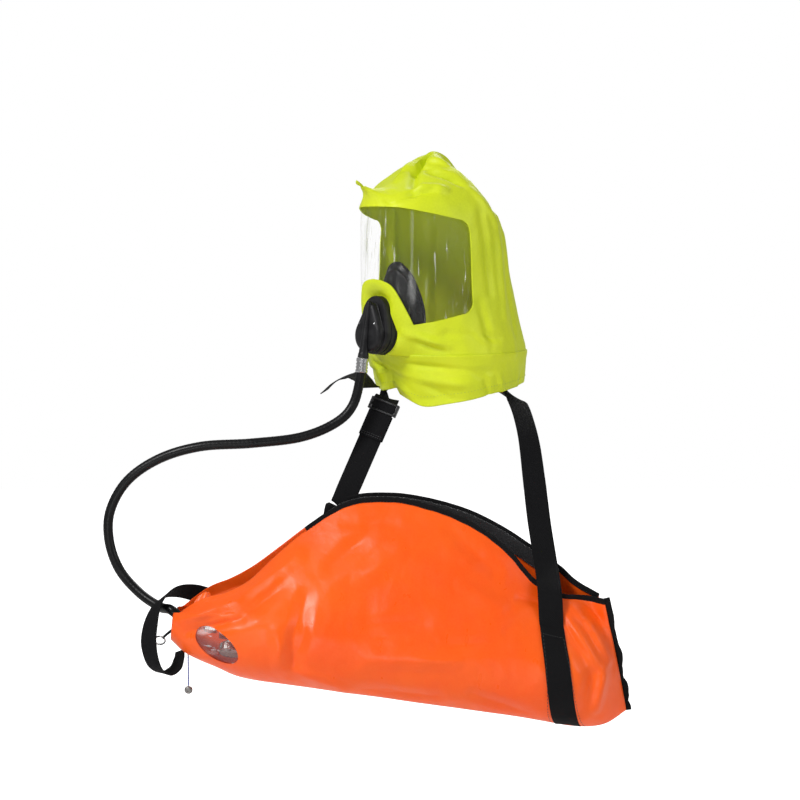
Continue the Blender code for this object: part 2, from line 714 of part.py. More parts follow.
def make_cylinder_group(parent):
    """Cylinder, valve body, gauge and fittings, in the bag frame: +X is u, -Y is n and +Z is v."""
    grey = paint("cylinder_paint")
    brass = paint("brass")
    plated = paint("plated_brass")
    length = CYLINDER_BASE_U - CYLINDER_NECK_U
    inner = CYLINDER_R - CYLINDER_WALL
    outer = CYLINDER_R
    profile = (
        (0, 10), (inner * 0.7, 12), (inner, 24), (inner, length - 62), (inner * 0.72, length - 40),
        (10, length - 22), (10, length), (17, length), (17, length - 14), (outer * 0.72, length - 32),
        (outer * 0.94, length - 48), (outer, length - 64), (outer, 16), (outer * 0.9, 4),
        (outer * 0.7, 0), (0, 4),
    )
    turned("gas_cylinder", profile, grey, parent, 28, (CYLINDER_BASE_U, 0, 0), (-1, 0, 0))
    make_bands(parent)
    neck = CYLINDER_NECK_U
    body = cylinder("valve_body", BODY_R, (neck - GAP, 0, 0), (BODY_END_U, 0, 0), sides=24)
    keep(body, plated, parent)
    stem = cylinder("body_stem", 9, (neck - 4, 0, 0), (neck + 16, 0, 0))
    nose = cylinder("body_nose", 7, (BODY_END_U + 4, 0, 0), (BODY_END_U - 10, 0, 0))
    u, v, n = GAUGE_DIRECTION
    out = Vector((u, -n, v))
    foot = Vector((GAUGE_U, 0, 0))
    boss = cylinder("gauge_boss", 6, foot, foot + out * (GAUGE_STEM - 4.5))
    fill = cylinder("fill_boss", 7, (neck - 16, 0, 0), (neck - 16, 0, 27))
    for piece in (stem, nose, boss, fill):
        boolean(body, cutter(piece, parent), "UNION")
    for name, radius, start, end in (
        ("pin_hole", 2.3, (PIN_U, 0, 6), (PIN_U, 0, 40)),
        ("relief_seat", 5.4, (neck - 30, 13, 0), (neck - 30, 30, 0)),
    ):
        boolean(body, cutter(cylinder(name, radius, start, end, sides=16), parent))
    keep(cylinder("relief_plug", 5.0, (neck - 30, 13.4, 0), (neck - 30, 21, 0), sides=6), brass, parent)
    turned(
        "port_cap",
        ((0, 12), (8.5, 12), (9.5, 10), (9.5, 0), (7.4, 0), (7.4, 8), (0, 8)),
        paint("cap_plastic"), parent, 20, (neck - 16, 0, 19.5), (0, 0, 1),
    )
    make_gauge(parent, out, plated)
    turned(
        "hose_nut",
        ((8.7, 16), (11, 16), (12, 14), (12, 2), (11, 0), (8.7, 0)),
        plated, parent, 6, (OUTLET_END_U + 4, 0, 0), (1, 0, 0),
    )
    tail = cylinder("hose_tail", 6.2, (BODY_END_U - 10.4, 0, 0), (OUTLET_END_U, 0, 0), sides=20)
    keep(tail, brass, parent)
    make_start_pin(parent)


def make_bands(parent):
    """Two webbing bands that hold the cylinder to the bag's back."""
    tape = paint("binding_tape")
    for name, u in (("cylinder_band_neck", -70), ("cylinder_band_base", 110)):
        low, high = CYLINDER_R + 0.5, CYLINDER_R + 0.5 + WEB
        profile = ((low, 25), (high, 25), (high, 0), (low, 0))
        turned(name, profile, tape, parent, 28, (u, 0, 0), (1, 0, 0))


def make_gauge(parent, out, plated):
    """Pressure gauge on its boss, looking along out."""
    centre = Vector((GAUGE_U, 0, 0)) + out * GAUGE_STEM
    bore = GAUGE_R - 1.2
    profile = ((0, 0), (bore, 0), (bore, 8), (GAUGE_R, 8), (GAUGE_R, -1), (GAUGE_R - 3, -4), (0, -4))
    turned("gauge_case", profile, plated, parent, 24, centre, out)
    white = paint("dial_white")
    ring = GAUGE_R - 1.6
    turned("gauge_dial", ((1.0, 1.4), (ring, 1.4), (ring, 0.4), (1.0, 0.4)), white, parent, 24, centre, out)
    lens = paint("gauge_lens")
    turned("gauge_lens", ((0, 7.6), (ring, 7.6), (ring, 6.4), (0, 6.4)), lens, parent, 24, centre, out)
    turn = Vector((0, 0, 1)).rotation_difference(out).to_matrix()
    hand = [(-1.0, -4.0), (1.0, -4.0), (0.35, 10.5), (-0.35, 10.5)]
    rings = [[(centre + turn @ Vector((x, y, z))) * MM for x, y in hand] for z in (2.6, 3.2)]
    needle = loft("gauge_needle", rings, paint("needle_black"), parent)
    hub = cylinder("needle_hub", 1.6, centre + out * 2.2, centre + out * 4.4, sides=12)
    boolean(needle, cutter(hub, parent), "UNION")
    pivot(needle, centre * MM)


def make_start_pin(parent):
    """The pin that holds the valve shut, with its split ring and the lanyard to the bag's mouth."""
    steel = paint("bright_steel")
    pin = cylinder("start_pin", 1.8, (PIN_U, 0, 7), (PIN_U, 0, 27), sides=12)
    keep(pin, steel, parent)
    head = cylinder("pin_head", 3.2, (PIN_U, 0, 24), (PIN_U, 0, 30), sides=12)
    boolean(pin, cutter(head, parent), "UNION")
    eye = cylinder("pin_eye", 1.3, (PIN_U, -5, 27.2), (PIN_U, 5, 27.2), sides=10)
    boolean(pin, cutter(eye, parent))
    pivot(pin, mm(PIN_U, 0, 0))

    def ring(bm):
        placed = Matrix.Translation(mm(PIN_U, 0, 33.4)) @ Matrix.Rotation(math.radians(90), 4, "Y")
        torus_faces(bm, 6.6 * MM, 0.8 * MM, 20, 8, placed)
    pivot(keep(mesh_object("pin_ring", ring), steel, parent), mm(PIN_U, 0, 0))


def torus_faces(bm, major, minor, around, across, matrix):
    """A ring whose tube is a loft of circles, closed on itself."""
    loops = []
    for i in range(around):
        a = 2 * math.pi * i / around
        loop = []
        for j in range(across):
            b = 2 * math.pi * j / across
            reach = major + minor * math.cos(b)
            spot = Vector((reach * math.cos(a), reach * math.sin(a), minor * math.sin(b)))
            loop.append(bm.verts.new(matrix @ spot))
        loops.append(loop)
    for i in range(around):
        low, high = loops[i], loops[(i + 1) % around]
        for j in range(across):
            bm.faces.new([low[j], low[(j + 1) % across], high[(j + 1) % across], high[j]])


# ---------------------------------------------------------------- webbing


def ribbon_rows(path, across, width=WEB_WIDTH):
    """Rows of a webbing: its middle line and the direction across it at each point."""
    rows = []
    for point, side in zip(path, across):
        half = side.normalized() * width * MM / 2
        rows.append([point + half * share for share in (-1, -0.5, 0, 0.5, 1)])
    return rows


def strap_on_bag(u_at, side, points, grow):
    """Rows of a webbing that lies on one panel: u_at(v) is its middle line."""
    rows = []
    for v_share in points:
        row = []
        for share in (-1, -0.5, 0, 0.5, 1):
            row.append(panel_point(u_at(v_share) + share * WEB_WIDTH / 2, side, v_share, grow))
        rows.append(row)
    return rows


def panel_point(u, side, share, grow):
    """A point of a panel at a share of its way from the bottom seam (0) to the mouth (1)."""
    section = bag_section(min(u, 246), side, grow)
    place = share * (len(section) - 1)
    k = min(int(place), len(section) - 2)
    a, b = Vector(section[k]), Vector(section[k + 1])
    at = a.lerp(b, place - k)
    return bag_point(at.x, at.y, at.z)


def make_straps():
    web = paint("webbing")
    rows = strap_on_bag(lambda s: 204 - 6 * s, -1, (0.6, 0.45, 0.3, 0.15, 0.05), 5.7)
    rows += strap_on_bag(lambda s: 204 - 38 * s, 1, (0.0, 0.08, 0.16, 0.25, 0.35, 0.46, 0.58, 0.7, 0.82), 4.3)
    free = (
        ((129, -190, -250), (1, 0.05, -0.14)), ((128, -165, -231), (1, 0.08, -0.14)),
        ((126, -139, -211), (1, 0.1, -0.14)), ((121, -116, -173), (1, 0.15, -0.14)),
        ((115.5, -104, -124), (1, 0.25, -0.16)), ((110, -88, -77), (1, 0.4, -0.2)),
        ((104, -64, -48), (1, 0.5, -0.2)), ((98, -41, -31), (1, 0.4, -0.25)),
        ((92, -25, -24), (0.8, 0.3, -0.5)), ((83, -4, -17), (0.45, 0.1, -0.88)),
        ((68, 30, -6), (0.1, 0.1, -0.98)), ((36, 66, -2), (0.05, 0.1, -0.98)),
        ((-2, 76, -2), (0, 0.12, -0.98)), ((-40, 63, -2), (-0.05, 0.1, -0.98)),
        ((-66, 30, -6), (-0.1, 0.1, -0.98)), ((-77, -8, -22), (-0.2, 0.0, -0.95)),
        ((-78, -28, -31), (-0.6, 0.0, -0.7)), ((-77, -51, -35), (-0.8, 0.15, -0.3)),
    )
    rows += ribbon_rows([mm(*p) for p, _ in free], [Vector(a) for _, a in free])
    down = strap_direction()
    side = strap_across()
    straight = [STRAP_TOP * MM + down * (length * MM) for length in (0, 40, 80, 120, 146)]
    rows += ribbon_rows(straight, [side] * len(straight))
    for v in (150, 110, 70, 35):
        rows.append([bag_point(u, v, -64.6) for u in (-88, -95.5, -103, -110.5, -118)])
    sheet("neck_strap", rows, WEB, web, offset=0.0)
    make_adjuster(down, side, web)
    tail = (
        ((-88, -44, -12), (0.1, -1, -0.3)), ((-97, -20, -4), (0.05, -1, -0.2)),
        ((-108, 3, 0), (0, -1, -0.15)), ((-123, 20, -3), (-0.1, -1, 0)),
        ((-139, 32, -12), (-0.1, -1, 0)), ((-152, 38, -24), (-0.1, -1, 0.05)),
    )
    rows = ribbon_rows([mm(*p) for p, _ in tail], [Vector(a) for _, a in tail])
    sheet("strap_tail", rows, WEB, web, offset=0.0)


def strap_direction():
    return (STRAP_FOOT - STRAP_TOP).normalized()


def strap_across():
    """Across the webbing where it lies on the left of the chest."""
    down = strap_direction()
    return down.cross(Vector((0.35, 1, 0))).normalized() * -1


def oriented_box(name, centre, axes, size):
    def build(bm):
        turn = Matrix((axes[0], axes[1], axes[2])).transposed().to_4x4()
        scale = Matrix.Diagonal((*(s * MM for s in size), 1))
        bmesh.ops.create_cube(bm, size=1, matrix=Matrix.Translation(centre) @ turn @ scale)

    return mesh_object(name, build)


def make_adjuster(down, side, web):
    """The plastic slider and the fold of webbing sewn to it, round the strap."""
    plastic = paint("slider_plastic")
    out = side.cross(down).normalized()
    axes = (side, down, out)
    place = STRAP_TOP * MM + down * SLIDER_AT * MM
    slider = keep(oriented_box("strap_slider", place, axes, (38, 16, 5)), plastic)
    window = oriented_box("slider_slot", place, axes, (31.5, 30, 2.4))
    boolean(slider, cutter(window))
    for shift in (-4, 4):
        opening = oriented_box(f"slider_window_{shift}", place + down * shift * MM, axes, (31.5, 4.4, 12))
        boolean(slider, cutter(opening))
    middle = STRAP_TOP * MM + down * (SLIDER_AT + 25.5) * MM
    fold = keep(oriented_box("strap_fold", middle, axes, (34, 34, 5.2)), web)
    boolean(fold, cutter(oriented_box("fold_slot", middle, axes, (31.5, 60, 2.4))))
    pivot(slider, place)
    pivot(fold, middle)


def matched(route, values, path):
    """Each point of the path takes the value of the route's nearest stretch."""
    found = []
    for point in path:
        spans = []
        for a, b, low, high in zip(route, route[1:], values, values[1:]):
            share = min(1.0, max(0.0, (point - a).dot(b - a) / (b - a).length_squared))
            spans.append(((point - a.lerp(b, share)).length, low.lerp(high, share)))
        found.append(min(spans, key=lambda span: span[0])[1])
    return found


def make_left_end():
    """Grab handle, ring with its tab, and the seal on its cord."""
    web = paint("webbing")
    steel = paint("bright_steel")
    route = (
        ((-268, -124.5, -276), (0.12, 0, 1)), ((-287, -131.5, -267), (0.1, -0.1, 1)),
        ((-306, -138, -259), (0.15, -0.35, 0.9)), ((-325, -148, -255), (0.3, -0.6, 0.7)),
        ((-338, -162, -257), (0.4, -0.75, 0.45)), ((-348, -178, -268), (0.6, -0.8, 0.25)),
        ((-354, -188, -289), (0.8, -0.6, 0.1)), ((-356, -191, -313), (0.85, -0.5, 0)),
        ((-350, -190, -338), (0.8, -0.6, 0)), ((-338, -183, -350), (0.7, -0.7, 0)),
        ((-327, -173, -346), (0.6, -0.8, 0)), ((-323, -165, -336), (0.45, -0.7, 0)),
        ((-322, -160, -327), (0.4, -0.7, 0)),
    )
    path = smooth_path([mm(*p) for p, _ in route], 26)
    across = matched([mm(*p) for p, _ in route], [Vector(a) for _, a in route], path)
    sheet("grab_handle", ribbon_rows(path, across, 24), WEB, web, offset=0.0)
    tab = [mm(-327, -172, -296), mm(-332, -173, -300), mm(-337, -174, -304)]
    sheet("ring_tab", ribbon_rows(tab, [Vector((0.1, -1, 0))] * 3, 14), WEB, web, offset=0.0)

    def ring(bm):
        placed = Matrix.Translation(mm(-345, -174, -311)) @ Matrix.Rotation(math.radians(-60), 4, "X")
        torus_faces(bm, 6.5 * MM, 1.1 * MM, 20, 8, placed)

    keep(mesh_object("handle_ring", ring), steel)
    blue = paint("cord_blue")
    hung = frame("seal_frame", mm(*SEAL_TOP), (0, 0, 0))
    drop = [mm(0, 0, -SEAL_CORD * step / 4) for step in range(5)]
    tube("seal_cord", drop, 0.9, blue, hung, resolution=1)
    lead = paint("lead_seal")
    turned(
        "lead_seal",
        ((0, 2.8), (2.6, 2.6), (4.4, 1.6), (5.0, 0.6), (5.0, -0.6), (4.4, -1.6), (2.6, -2.6), (0, -2.8)),
        lead, hung, 20, (0, 0, -SEAL_CORD - 5.4), (0, -1, 0),
    )


clear_scene()
PARTS = collection("smoke_hood")
CUTTERS = collection("cutters")
hood_frame = frame("hood_frame", (0, 0, 0), (0, 0, HOOD_TURN))
valve_frame = frame("valve_frame", mm(0, -VALVE_REACH, VALVE_Z), (VALVE_LEAN, 0, 0), hood_frame)
bag_frame = frame("bag_frame", BAG_CENTRE * MM, (0, BAG_TILT, 0))
make_hood(hood_frame)
make_valve(valve_frame)
make_bag()
make_cylinder_group(bag_frame)
make_hose(valve_frame, bag_frame)
make_straps()
make_left_end()
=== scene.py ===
"""Looks of the smoke hood: cloth, film, rubber, webbing and metal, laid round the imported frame.

Points of the hood, valve and bag are in millimetres, in those parts' own frames.
"""

import functools
import math

import bmesh
import bpy
from mathutils import Matrix, Vector, noise


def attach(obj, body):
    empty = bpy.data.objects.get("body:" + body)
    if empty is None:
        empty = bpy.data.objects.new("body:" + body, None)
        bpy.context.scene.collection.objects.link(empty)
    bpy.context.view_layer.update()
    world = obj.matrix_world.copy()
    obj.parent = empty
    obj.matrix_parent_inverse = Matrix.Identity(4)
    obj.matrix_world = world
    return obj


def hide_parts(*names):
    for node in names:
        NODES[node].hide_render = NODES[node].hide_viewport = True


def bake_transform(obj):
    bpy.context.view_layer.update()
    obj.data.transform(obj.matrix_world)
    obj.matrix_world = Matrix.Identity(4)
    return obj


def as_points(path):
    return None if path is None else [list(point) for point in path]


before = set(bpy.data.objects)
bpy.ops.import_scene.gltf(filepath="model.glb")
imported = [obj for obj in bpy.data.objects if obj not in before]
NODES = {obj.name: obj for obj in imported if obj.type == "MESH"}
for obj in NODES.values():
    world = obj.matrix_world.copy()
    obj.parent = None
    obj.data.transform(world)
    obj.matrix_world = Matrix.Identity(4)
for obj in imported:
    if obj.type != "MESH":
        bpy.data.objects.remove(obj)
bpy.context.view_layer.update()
MM = 0.001

# Camera: straight in front, looking a little down
CAMERA_AIM = Vector((-0.052, 0, -0.032))
CAMERA_AWAY, CAMERA_RISE = 2.4, math.radians(5)
CAMERA_SPAN, SENSOR = 1.04, 36  # metres across the view at the aim, and the sensor's width

# Floor and light
FLOOR_Z, FLOOR_HALF = -0.56, 3.0
AMBIENT = 0.3  # the world's light, as a share of what the camera sees of it
LAMPS = (  # name, place, size and power
    ("key", (-1.6, -1.7, 1.9), 0.7, 58), ("side", (2.2, -1.1, 0.9), 1.2, 14),
    ("back", (0.6, 2.0, 1.6), 1.4, 20), ("front", (-0.7, -3.0, -0.6), 1.2, 24),
)

# The frames of the hood, the valve and the bag
HOOD_TURN = Matrix.Rotation(math.radians(-45), 4, "Z")
VALVE_PLACE = Matrix.Translation((0, -0.118, 0.070)) @ Matrix.Rotation(math.radians(-7), 4, "X")
VALVE_MATRIX = HOOD_TURN @ VALVE_PLACE
BAG_CENTRE, BAG_TILT = Vector((-0.050, -0.175, -0.322)), math.radians(8)
BAG_MATRIX = Matrix.Translation(BAG_CENTRE) @ Matrix.Rotation(BAG_TILT, 4, "Y")
FORWARD = Vector((0, -1, 0))

# Hood cloth
FABRIC, FILM = 1.2, 0.7  # thicknesses
HOOD_STATIONS = (  # height, half width, reach forward, reach backward
    (-24, 92, 72, 120), (-4, 95, 79, 124), (29, 96, 89, 124), (60, 92, 106, 116),
    (92, 88, 115, 105), (130, 84, 120, 92), (172, 82, 122, 84), (206, 77, 124, 76),
)
RIDGE = (  # angle, reach forward and height of the top seam
    (0, 151, 247), (11, 138, 241), (22, 121, 238), (34, 101, 241), (48, 70, 255), (64, 40, 274),
    (82, 16, 287), (100, -8, 282), (118, -26, 268), (136, -42, 254), (154, -56, 240),
    (168, -66, 228), (180, -73, 218),
)
HEM = (  # angle and height of the hem
    (0, -20), (11, -27), (20, -33), (28, -34), (40, -31), (56, -27), (74, -22), (96, -16),
    (118, -12), (136, -9), (154, -7), (168, -7), (180, -7),
)
HEM_FAR = 0.35  # the hem hangs this share as low on the far shoulder
SLUMP, SLUMP_FROM = 0.36, 40  # the crown's left side slumps inwards by this share, from this angle back
SEAM_Z = 29.5  # where the skirt begins
WALL_ROWS, CROWN_ROWS, HOOD_COLUMNS = 78, 46, 240
SKIRT_IN, SKIRT_OUT = -9.0, 4.0  # how far the skirt's folds may go
SKIRT_BOUNDS = (  # the same across the hood, low in front, where webbing runs inside and outside it
    (-96, -9, -2.8), (-52, -9, -2.8), (-40, -3, 0.5), (-32, 2.2, 3.0), (-14, 2.2, 3.0), (6, -9, 4),
    (96, -9, 4),
)

# Visor window: side outline and the arch of cloth round the valve
WINDOW_BACK, WINDOW_TOP_BACK, WINDOW_TOP_FRONT = 30, 201, 219
WINDOW_LOW_BACK, WINDOW_LOW_FRONT, WINDOW_CORNER = 83, 66, 16
WINDOW_BEND, WINDOW_PAST = 112, 170  # the reach where its edges bend, and a reach past the hood's front
ARCH = ((47, 60), (46, 70), (41, 86), (33, 106), (25, 119), (13, 125), (0, 127))
FILM_LAP = 6  # how far the film reaches behind the cloth all round

# Folds: two ends, half width and depth, inwards above zero
HOOD_FOLDS = (
    ((0, 152, 244), (24, 117, 221), 9, 7.0), ((24, 117, 221), (50, 66, 236), 8, 4.5),
    ((0, 134, 240), (16, 104, 238), 7, -3.0), ((-4, 22, 284), (10, 58, 262), 10, 9.0),
    ((10, 58, 262), (36, 88, 230), 10, 6.0), ((4, 60, 266), (30, 44, 268), 6, 5.0),
    ((12, 34, 278), (34, 22, 272), 7, -4.0), ((30, 52, 261), (62, 22, 246), 8, 6.0),
    ((-12, 44, 276), (4, 84, 250), 8, -5.0), ((34, 88, 240), (58, 52, 238), 8, -4.0),
    ((24, -8, 280), (64, -68, 216), 34, 15.0), ((40, 6, 274), (66, 4, 246), 7, 3.0),
    ((46, -30, 256), (74, -30, 210), 10, 3.5), ((66, 14, 244), (78, -20, 196), 8, -3.0),
    ((76, 8, 206), (86, 0, 110), 10, 3.6), ((76, -22, 200), (88, -28, 80), 10, -2.8),
    ((74, -44, 190), (86, -52, 60), 11, 3.6), ((88, 20, 96), (96, 4, 40), 10, 3.2),
    ((60, -78, 170), (66, -92, 50), 12, 3.4), ((30, -96, 200), (34, -116, 50), 13, 3.4),
    ((70, 64, 60), (94, -10, 52), 8, 3.4), ((30, 102, 62), (76, 64, 44), 8, -3.4),
    ((44, 92, 50), (66, 66, 38), 7, 3.0), ((84, 30, 60), (94, 0, 40), 7, -2.6),
    ((-76, 8, 206), (-86, 0, 100), 11, 3.4), ((-70, -50, 190), (-82, -60, 60), 12, 3.4),
    ((-50, 50, 244), (-66, 20, 232), 9, 5.0), ((-30, 20, 276), (-60, -20, 240), 10, 5.0),
    ((-30, -98, 190), (-40, -112, 50), 13, 3.4), ((0, -84, 214), (4, -120, 60), 11, -2.4),
)
SKIRT_FOLDS = (
    ((-44, 74, 24), (-6, 84, 0), 8, 6.0), ((-6, 84, 0), (22, 74, -24), 8, -4.5),
    ((-20, 84, 26), (20, 80, 6), 7, -3.5), ((20, 86, 22), (64, 68, 16), 7, 4.0),
    ((64, 68, 16), (96, 8, 12), 8, 4.0), ((30, 82, 4), (88, 40, -6), 9, -4.0),
    ((44, 74, -8), (70, 52, -24), 7, 3.5), ((92, 18, 4), (94, 8, -20), 6, 3.4),
    ((96, -6, 6), (94, -14, -14), 6, -3.0), ((70, 50, 24), (92, 24, 4), 6, 3.0),
    ((-60, 60, 20), (-90, 20, 0), 9, 4.0), ((-80, -40, 18), (-90, -30, -6), 8, 4.0),
    ((20, -120, 20), (26, -120, -6), 9, 4.0), ((70, -70, 20), (80, -60, -8), 8, 4.0),
    ((-30, -118, 20), (-36, -116, -6), 9, 3.5),
)

# Demand valve
HOUSING_LOWER, HOUSING_UPPER = (26, -11), (20, 16)  # radius and height of the outline's ends
COVER_LOWER, COVER_UPPER = (21.5, -13), (8.5, 17)
STEM_TOP, STEM_BOTTOM = 29, -43
HUG_REACH, HUG_FRONT, HUG_BACK = 16, 6, 16  # how far off the cloth is drawn to the valve, and to where
GAP = 0.4  # from the stem, and from the outlet, to the crimp and the hose

# Hose
HOSE_R, HOSE_PITCH, FERRULE_LENGTH = 6.0, 0.0052, 18
OUTLET_END_U = -246

# Bag
CLOTH = 1.2
BACK_FLAT = -60 * math.cos(math.radians(20))
BAG_STATIONS = (  # u, bottom v, mouth v (front, back), bulge n (front, back), mouth n (front, back)
    (-279, -26, 2, 4, 19, -19, 13, -18), (-262, -38, 20, 22, 27, -27, 18, -26),
    (-243, -45, 34, 38, 36, -38, 20, -36), (-220, -51, 42, 50, 45, -48, 12, -44),
    (-195, -58, 58, 68, 54, -57, 0, -50), (-166, -60, 92, 96, 58, -60, -14, -54),
    (-136, -60, 124, 126, 58, -60, -26, -56), (-91, -60, 160, 163, 58, -60, -36, -58),
    (-39, -60, 173, 176, 58, -60, -38, BACK_FLAT), (10, -60, 171, 176, 58, -60, -34, BACK_FLAT),
    (62, -60, 159, 168, 58, -60, -26, BACK_FLAT), (108, -60, 136, 152, 58, -60, -16, BACK_FLAT),
    (146, -60, 104, 134, 58, -60, -6, -52), (180, -61, 91, 117, 58, -58, -4, -44),
    (206, -62, 90, 104, 56, -52, -8, -34), (228, -56, 90, 97, 36, -38, -12, -24),
    (248, -36, 91, 93, 3, -7, -1, -6),
)
BAG_START, BAG_END = BAG_STATIONS[0][0], BAG_STATIONS[-1][0]
END_SLANT, END_SLANT_FROM = 0.35, 183  # the right end leans by this share, from this u on
SECTION_ANGLES = (-90, -68, -46, -24, -2, 20)  # round the belly, from the bottom seam
SECTION_RISE = (0.25, 0.5, 0.75, 1.0)  # shares of the way from there up to the mouth
WINDOW_CENTRE, WINDOW_TILT = (-221, -17), math.radians(-28)
WINDOW_FRONT, WINDOW_BEHIND = 80, 8  # the n between which the window's cutters reach
FRONT_FOLDS = (  # two ends (u, v), half width and depth, inwards above zero
    ((-272, 4), (-205, 38), 9, -4.5), ((-258, -8), (-196, 20), 8, 4.0),
    ((-205, 38), (-140, 96), 13, -4.0), ((-196, 20), (-150, 62), 12, 4.0),
    ((-124, 52), (-128, -30), 16, 5.0), ((-150, 10), (-140, -30), 14, -3.0),
    ((-100, 90), (-60, 132), 15, 3.0), ((-60, 84), (-20, 120), 15, -2.6),
    ((40, 150), (96, 112), 13, 3.0), ((60, 92), (110, 74), 12, -2.4),
    ((-60, 30), (20, 44), 13, 2.6), ((-40, -4), (60, 8), 15, -2.6),
    ((40, 20), (120, 34), 13, 2.6), ((130, 84), (166, 80), 6, 2.4),
    ((186, 90), (221, 66), 9, -5.0), ((221, 66), (250, 27), 9, -5.5),
    ((186, 78), (240, 20), 9, -4.5), ((206, 94), (246, 60), 12, 4.5), ((190, 64), (230, 6), 12, 3.5),
    ((245, 20), (240, -30), 9, -4.5), ((228, 10), (222, -34), 12, 3.5),
    ((-130, -30), (-60, -50), 11, -2.6), ((-40, -44), (50, -40), 10, 2.4),
    ((90, -30), (160, -46), 11, 2.6), ((-90, 140), (-30, 150), 9, 2.2),
)
BACK_FOLDS = (
    ((-250, 10), (-190, 40), 10, 4.0), ((-150, 70), (-120, 20), 12, 4.0),
    ((196, 80), (236, 20), 9, 4.0), ((170, 60), (200, -20), 12, 3.0), ((-180, -10), (-140, -30), 12, 3.0),
)

# Webbing
WEB, WEB_WIDTH = 1.4, 30
STRAP_U, LEAN_FRONT, LEAN_BACK = 204, -38, -6  # the right strap at the bottom seam, and its lean upwards
SEWING_LOW, SEWING_HIGH, SEWING_HALF, SEWING_LIFT = 0.06, 0.74, 12.5, 4.3
SLIDER_AT = 11  # how far down the left strap the slider sits at rest
STRAP_TOP, STRAP_FOOT = Vector((-68, -77, -24)), Vector((-127, -107, -158))
SEAL_TOP, SEAL_CORD = (-310, -178, -328.5), 37.5


# ---------------------------------------------------------------- places


def mm(x, y, z):
    return Vector((x, y, z)) * MM


def hood_place(point):
    """From the hood's frame, in millimetres, to the row frame."""
    return HOOD_TURN @ (point * MM)


def valve_place(point):
    return VALVE_MATRIX @ (point * MM)


def bag_place(u, v, n):
    """From along, up and out of the bag's front, in millimetres, to the row frame."""
    along = Vector((math.cos(BAG_TILT), 0, -math.sin(BAG_TILT)))
    across = Vector((math.sin(BAG_TILT), 0, math.cos(BAG_TILT)))
    return BAG_CENTRE + (along * u + across * v + FORWARD * n) * MM


BAG_ALONG = bag_place(1, 0, 0) - bag_place(0, 0, 0)
BAG_UP = bag_place(0, 1, 0) - bag_place(0, 0, 0)


def unit(x):
    """x, kept between 0 and 1."""
    return min(1.0, max(0.0, x))


def turns(count):
    """Equal steps round a circle, in radians."""
    return [2 * math.pi * k / count for k in range(count)]


def rows_of(rows, columns, place):
    """Rows of points, each from place(row, column)."""
    return [[place(i, j) for j in range(columns)] for i in range(rows)]


def read(table, x, column):
    """A column of a table at x, along a smooth curve through its rows."""
    last = len(table) - 1
    k = 0
    while k < last - 1 and x > table[k + 1][0]:
        k += 1

    def slope(i):
        before, after = table[max(0, i - 1)], table[min(last, i + 1)]
        return (after[column] - before[column]) / (after[0] - before[0])

    low, high = table[k], table[k + 1]
    span = high[0] - low[0]
    t = unit((x - low[0]) / span)
    return (
        low[column] * (2 * t**3 - 3 * t**2 + 1) + slope(k) * span * (t**3 - 2 * t**2 + t)
        + high[column] * (3 * t**2 - 2 * t**3) + slope(k + 1) * span * (t**3 - t**2)
    )


def folded(point, folds):
    """How far the folds near a point push it inwards."""
    total = 0.0
    for a, b, width, depth in folds:
        a, b = Vector(a), Vector(b)
        run = b - a
        share = (point - a).dot(run) / run.length_squared
        near = unit(share)
        away = (point - a.lerp(b, near)).length
        if away < width * 2:
            pinch = math.exp(-((away / width * 1.5) ** 2)) * 0.4 + max(0.0, 1 - away / width) * 0.6
            total += depth * pinch * (0.35 + 0.65 * math.sin(math.pi * (0.1 + 0.8 * near)))
    return total


def ripple(point, size, stretch=(1, 1, 1)):
    """Smooth random waves of about this size, between -1 and 1."""
    return noise.noise(Vector([c * s / size for c, s in zip(point, stretch)]) + Vector((7.3, 2.1, 5.7)))


def crumple(point, size, stretch=(1, 1, 1)):
    """Ridged random waves: flat facets that meet in creases, between -1 and 1."""
    return 1 - 2.6 * abs(ripple(point, size, stretch))


# ---------------------------------------------------------------- meshes


def linked(name, data):
    """A new object in the scene."""
    obj = bpy.data.objects.new(name, data)
    bpy.context.scene.collection.objects.link(obj)
    return obj


def meshed(name, bm):
    mesh = bpy.data.meshes.new(name)
    bm.to_mesh(mesh)
    bm.free()
    return linked(name, mesh)


def add_object(name, bm, paint, body=None, node=None, sharp=40):
    """A piece of the model, which rides on a body and may stand for a node of the frame."""
    obj = meshed(name, bm)
    obj.data.materials.append(paint)
    obj.data.shade_smooth()
    obj.data.set_sharp_from_angle(angle=math.radians(sharp))
    if body:
        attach(obj, body)
    if node:
        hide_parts(node)
    return obj


def grid(rows, closed=False):
    """A sheet of quads through rows of points, with UVs in metres along both ways."""
    bm = bmesh.new()
    layer = bm.loops.layers.uv.new("UVMap")
    made = [[bm.verts.new(p) for p in row] for row in rows]
    middle = rows[len(rows) // 2]
    if closed:
        middle = middle + [middle[0]]
    across = [0.0]
    for a, b in zip(middle, middle[1:]):
        across.append(across[-1] + (b - a).length)
    along = [0.0]
    centre = len(rows[0]) // 2
    for low, high in zip(rows, rows[1:]):
        along.append(along[-1] + (high[centre] - low[centre]).length)
    width = len(rows[0])
    for i in range(len(rows) - 1):
        for j in range(width if closed else width - 1):
            right = (j + 1) % width
            face = bm.faces.new((made[i][j], made[i][right], made[i + 1][right], made[i + 1][j]))
            spots = ((j, i), (j + 1, i), (j + 1, i + 1), (j, i + 1))
            for loop, (x, y) in zip(face.loops, spots):
                loop[layer].uv = (across[x], along[y])
    return bm


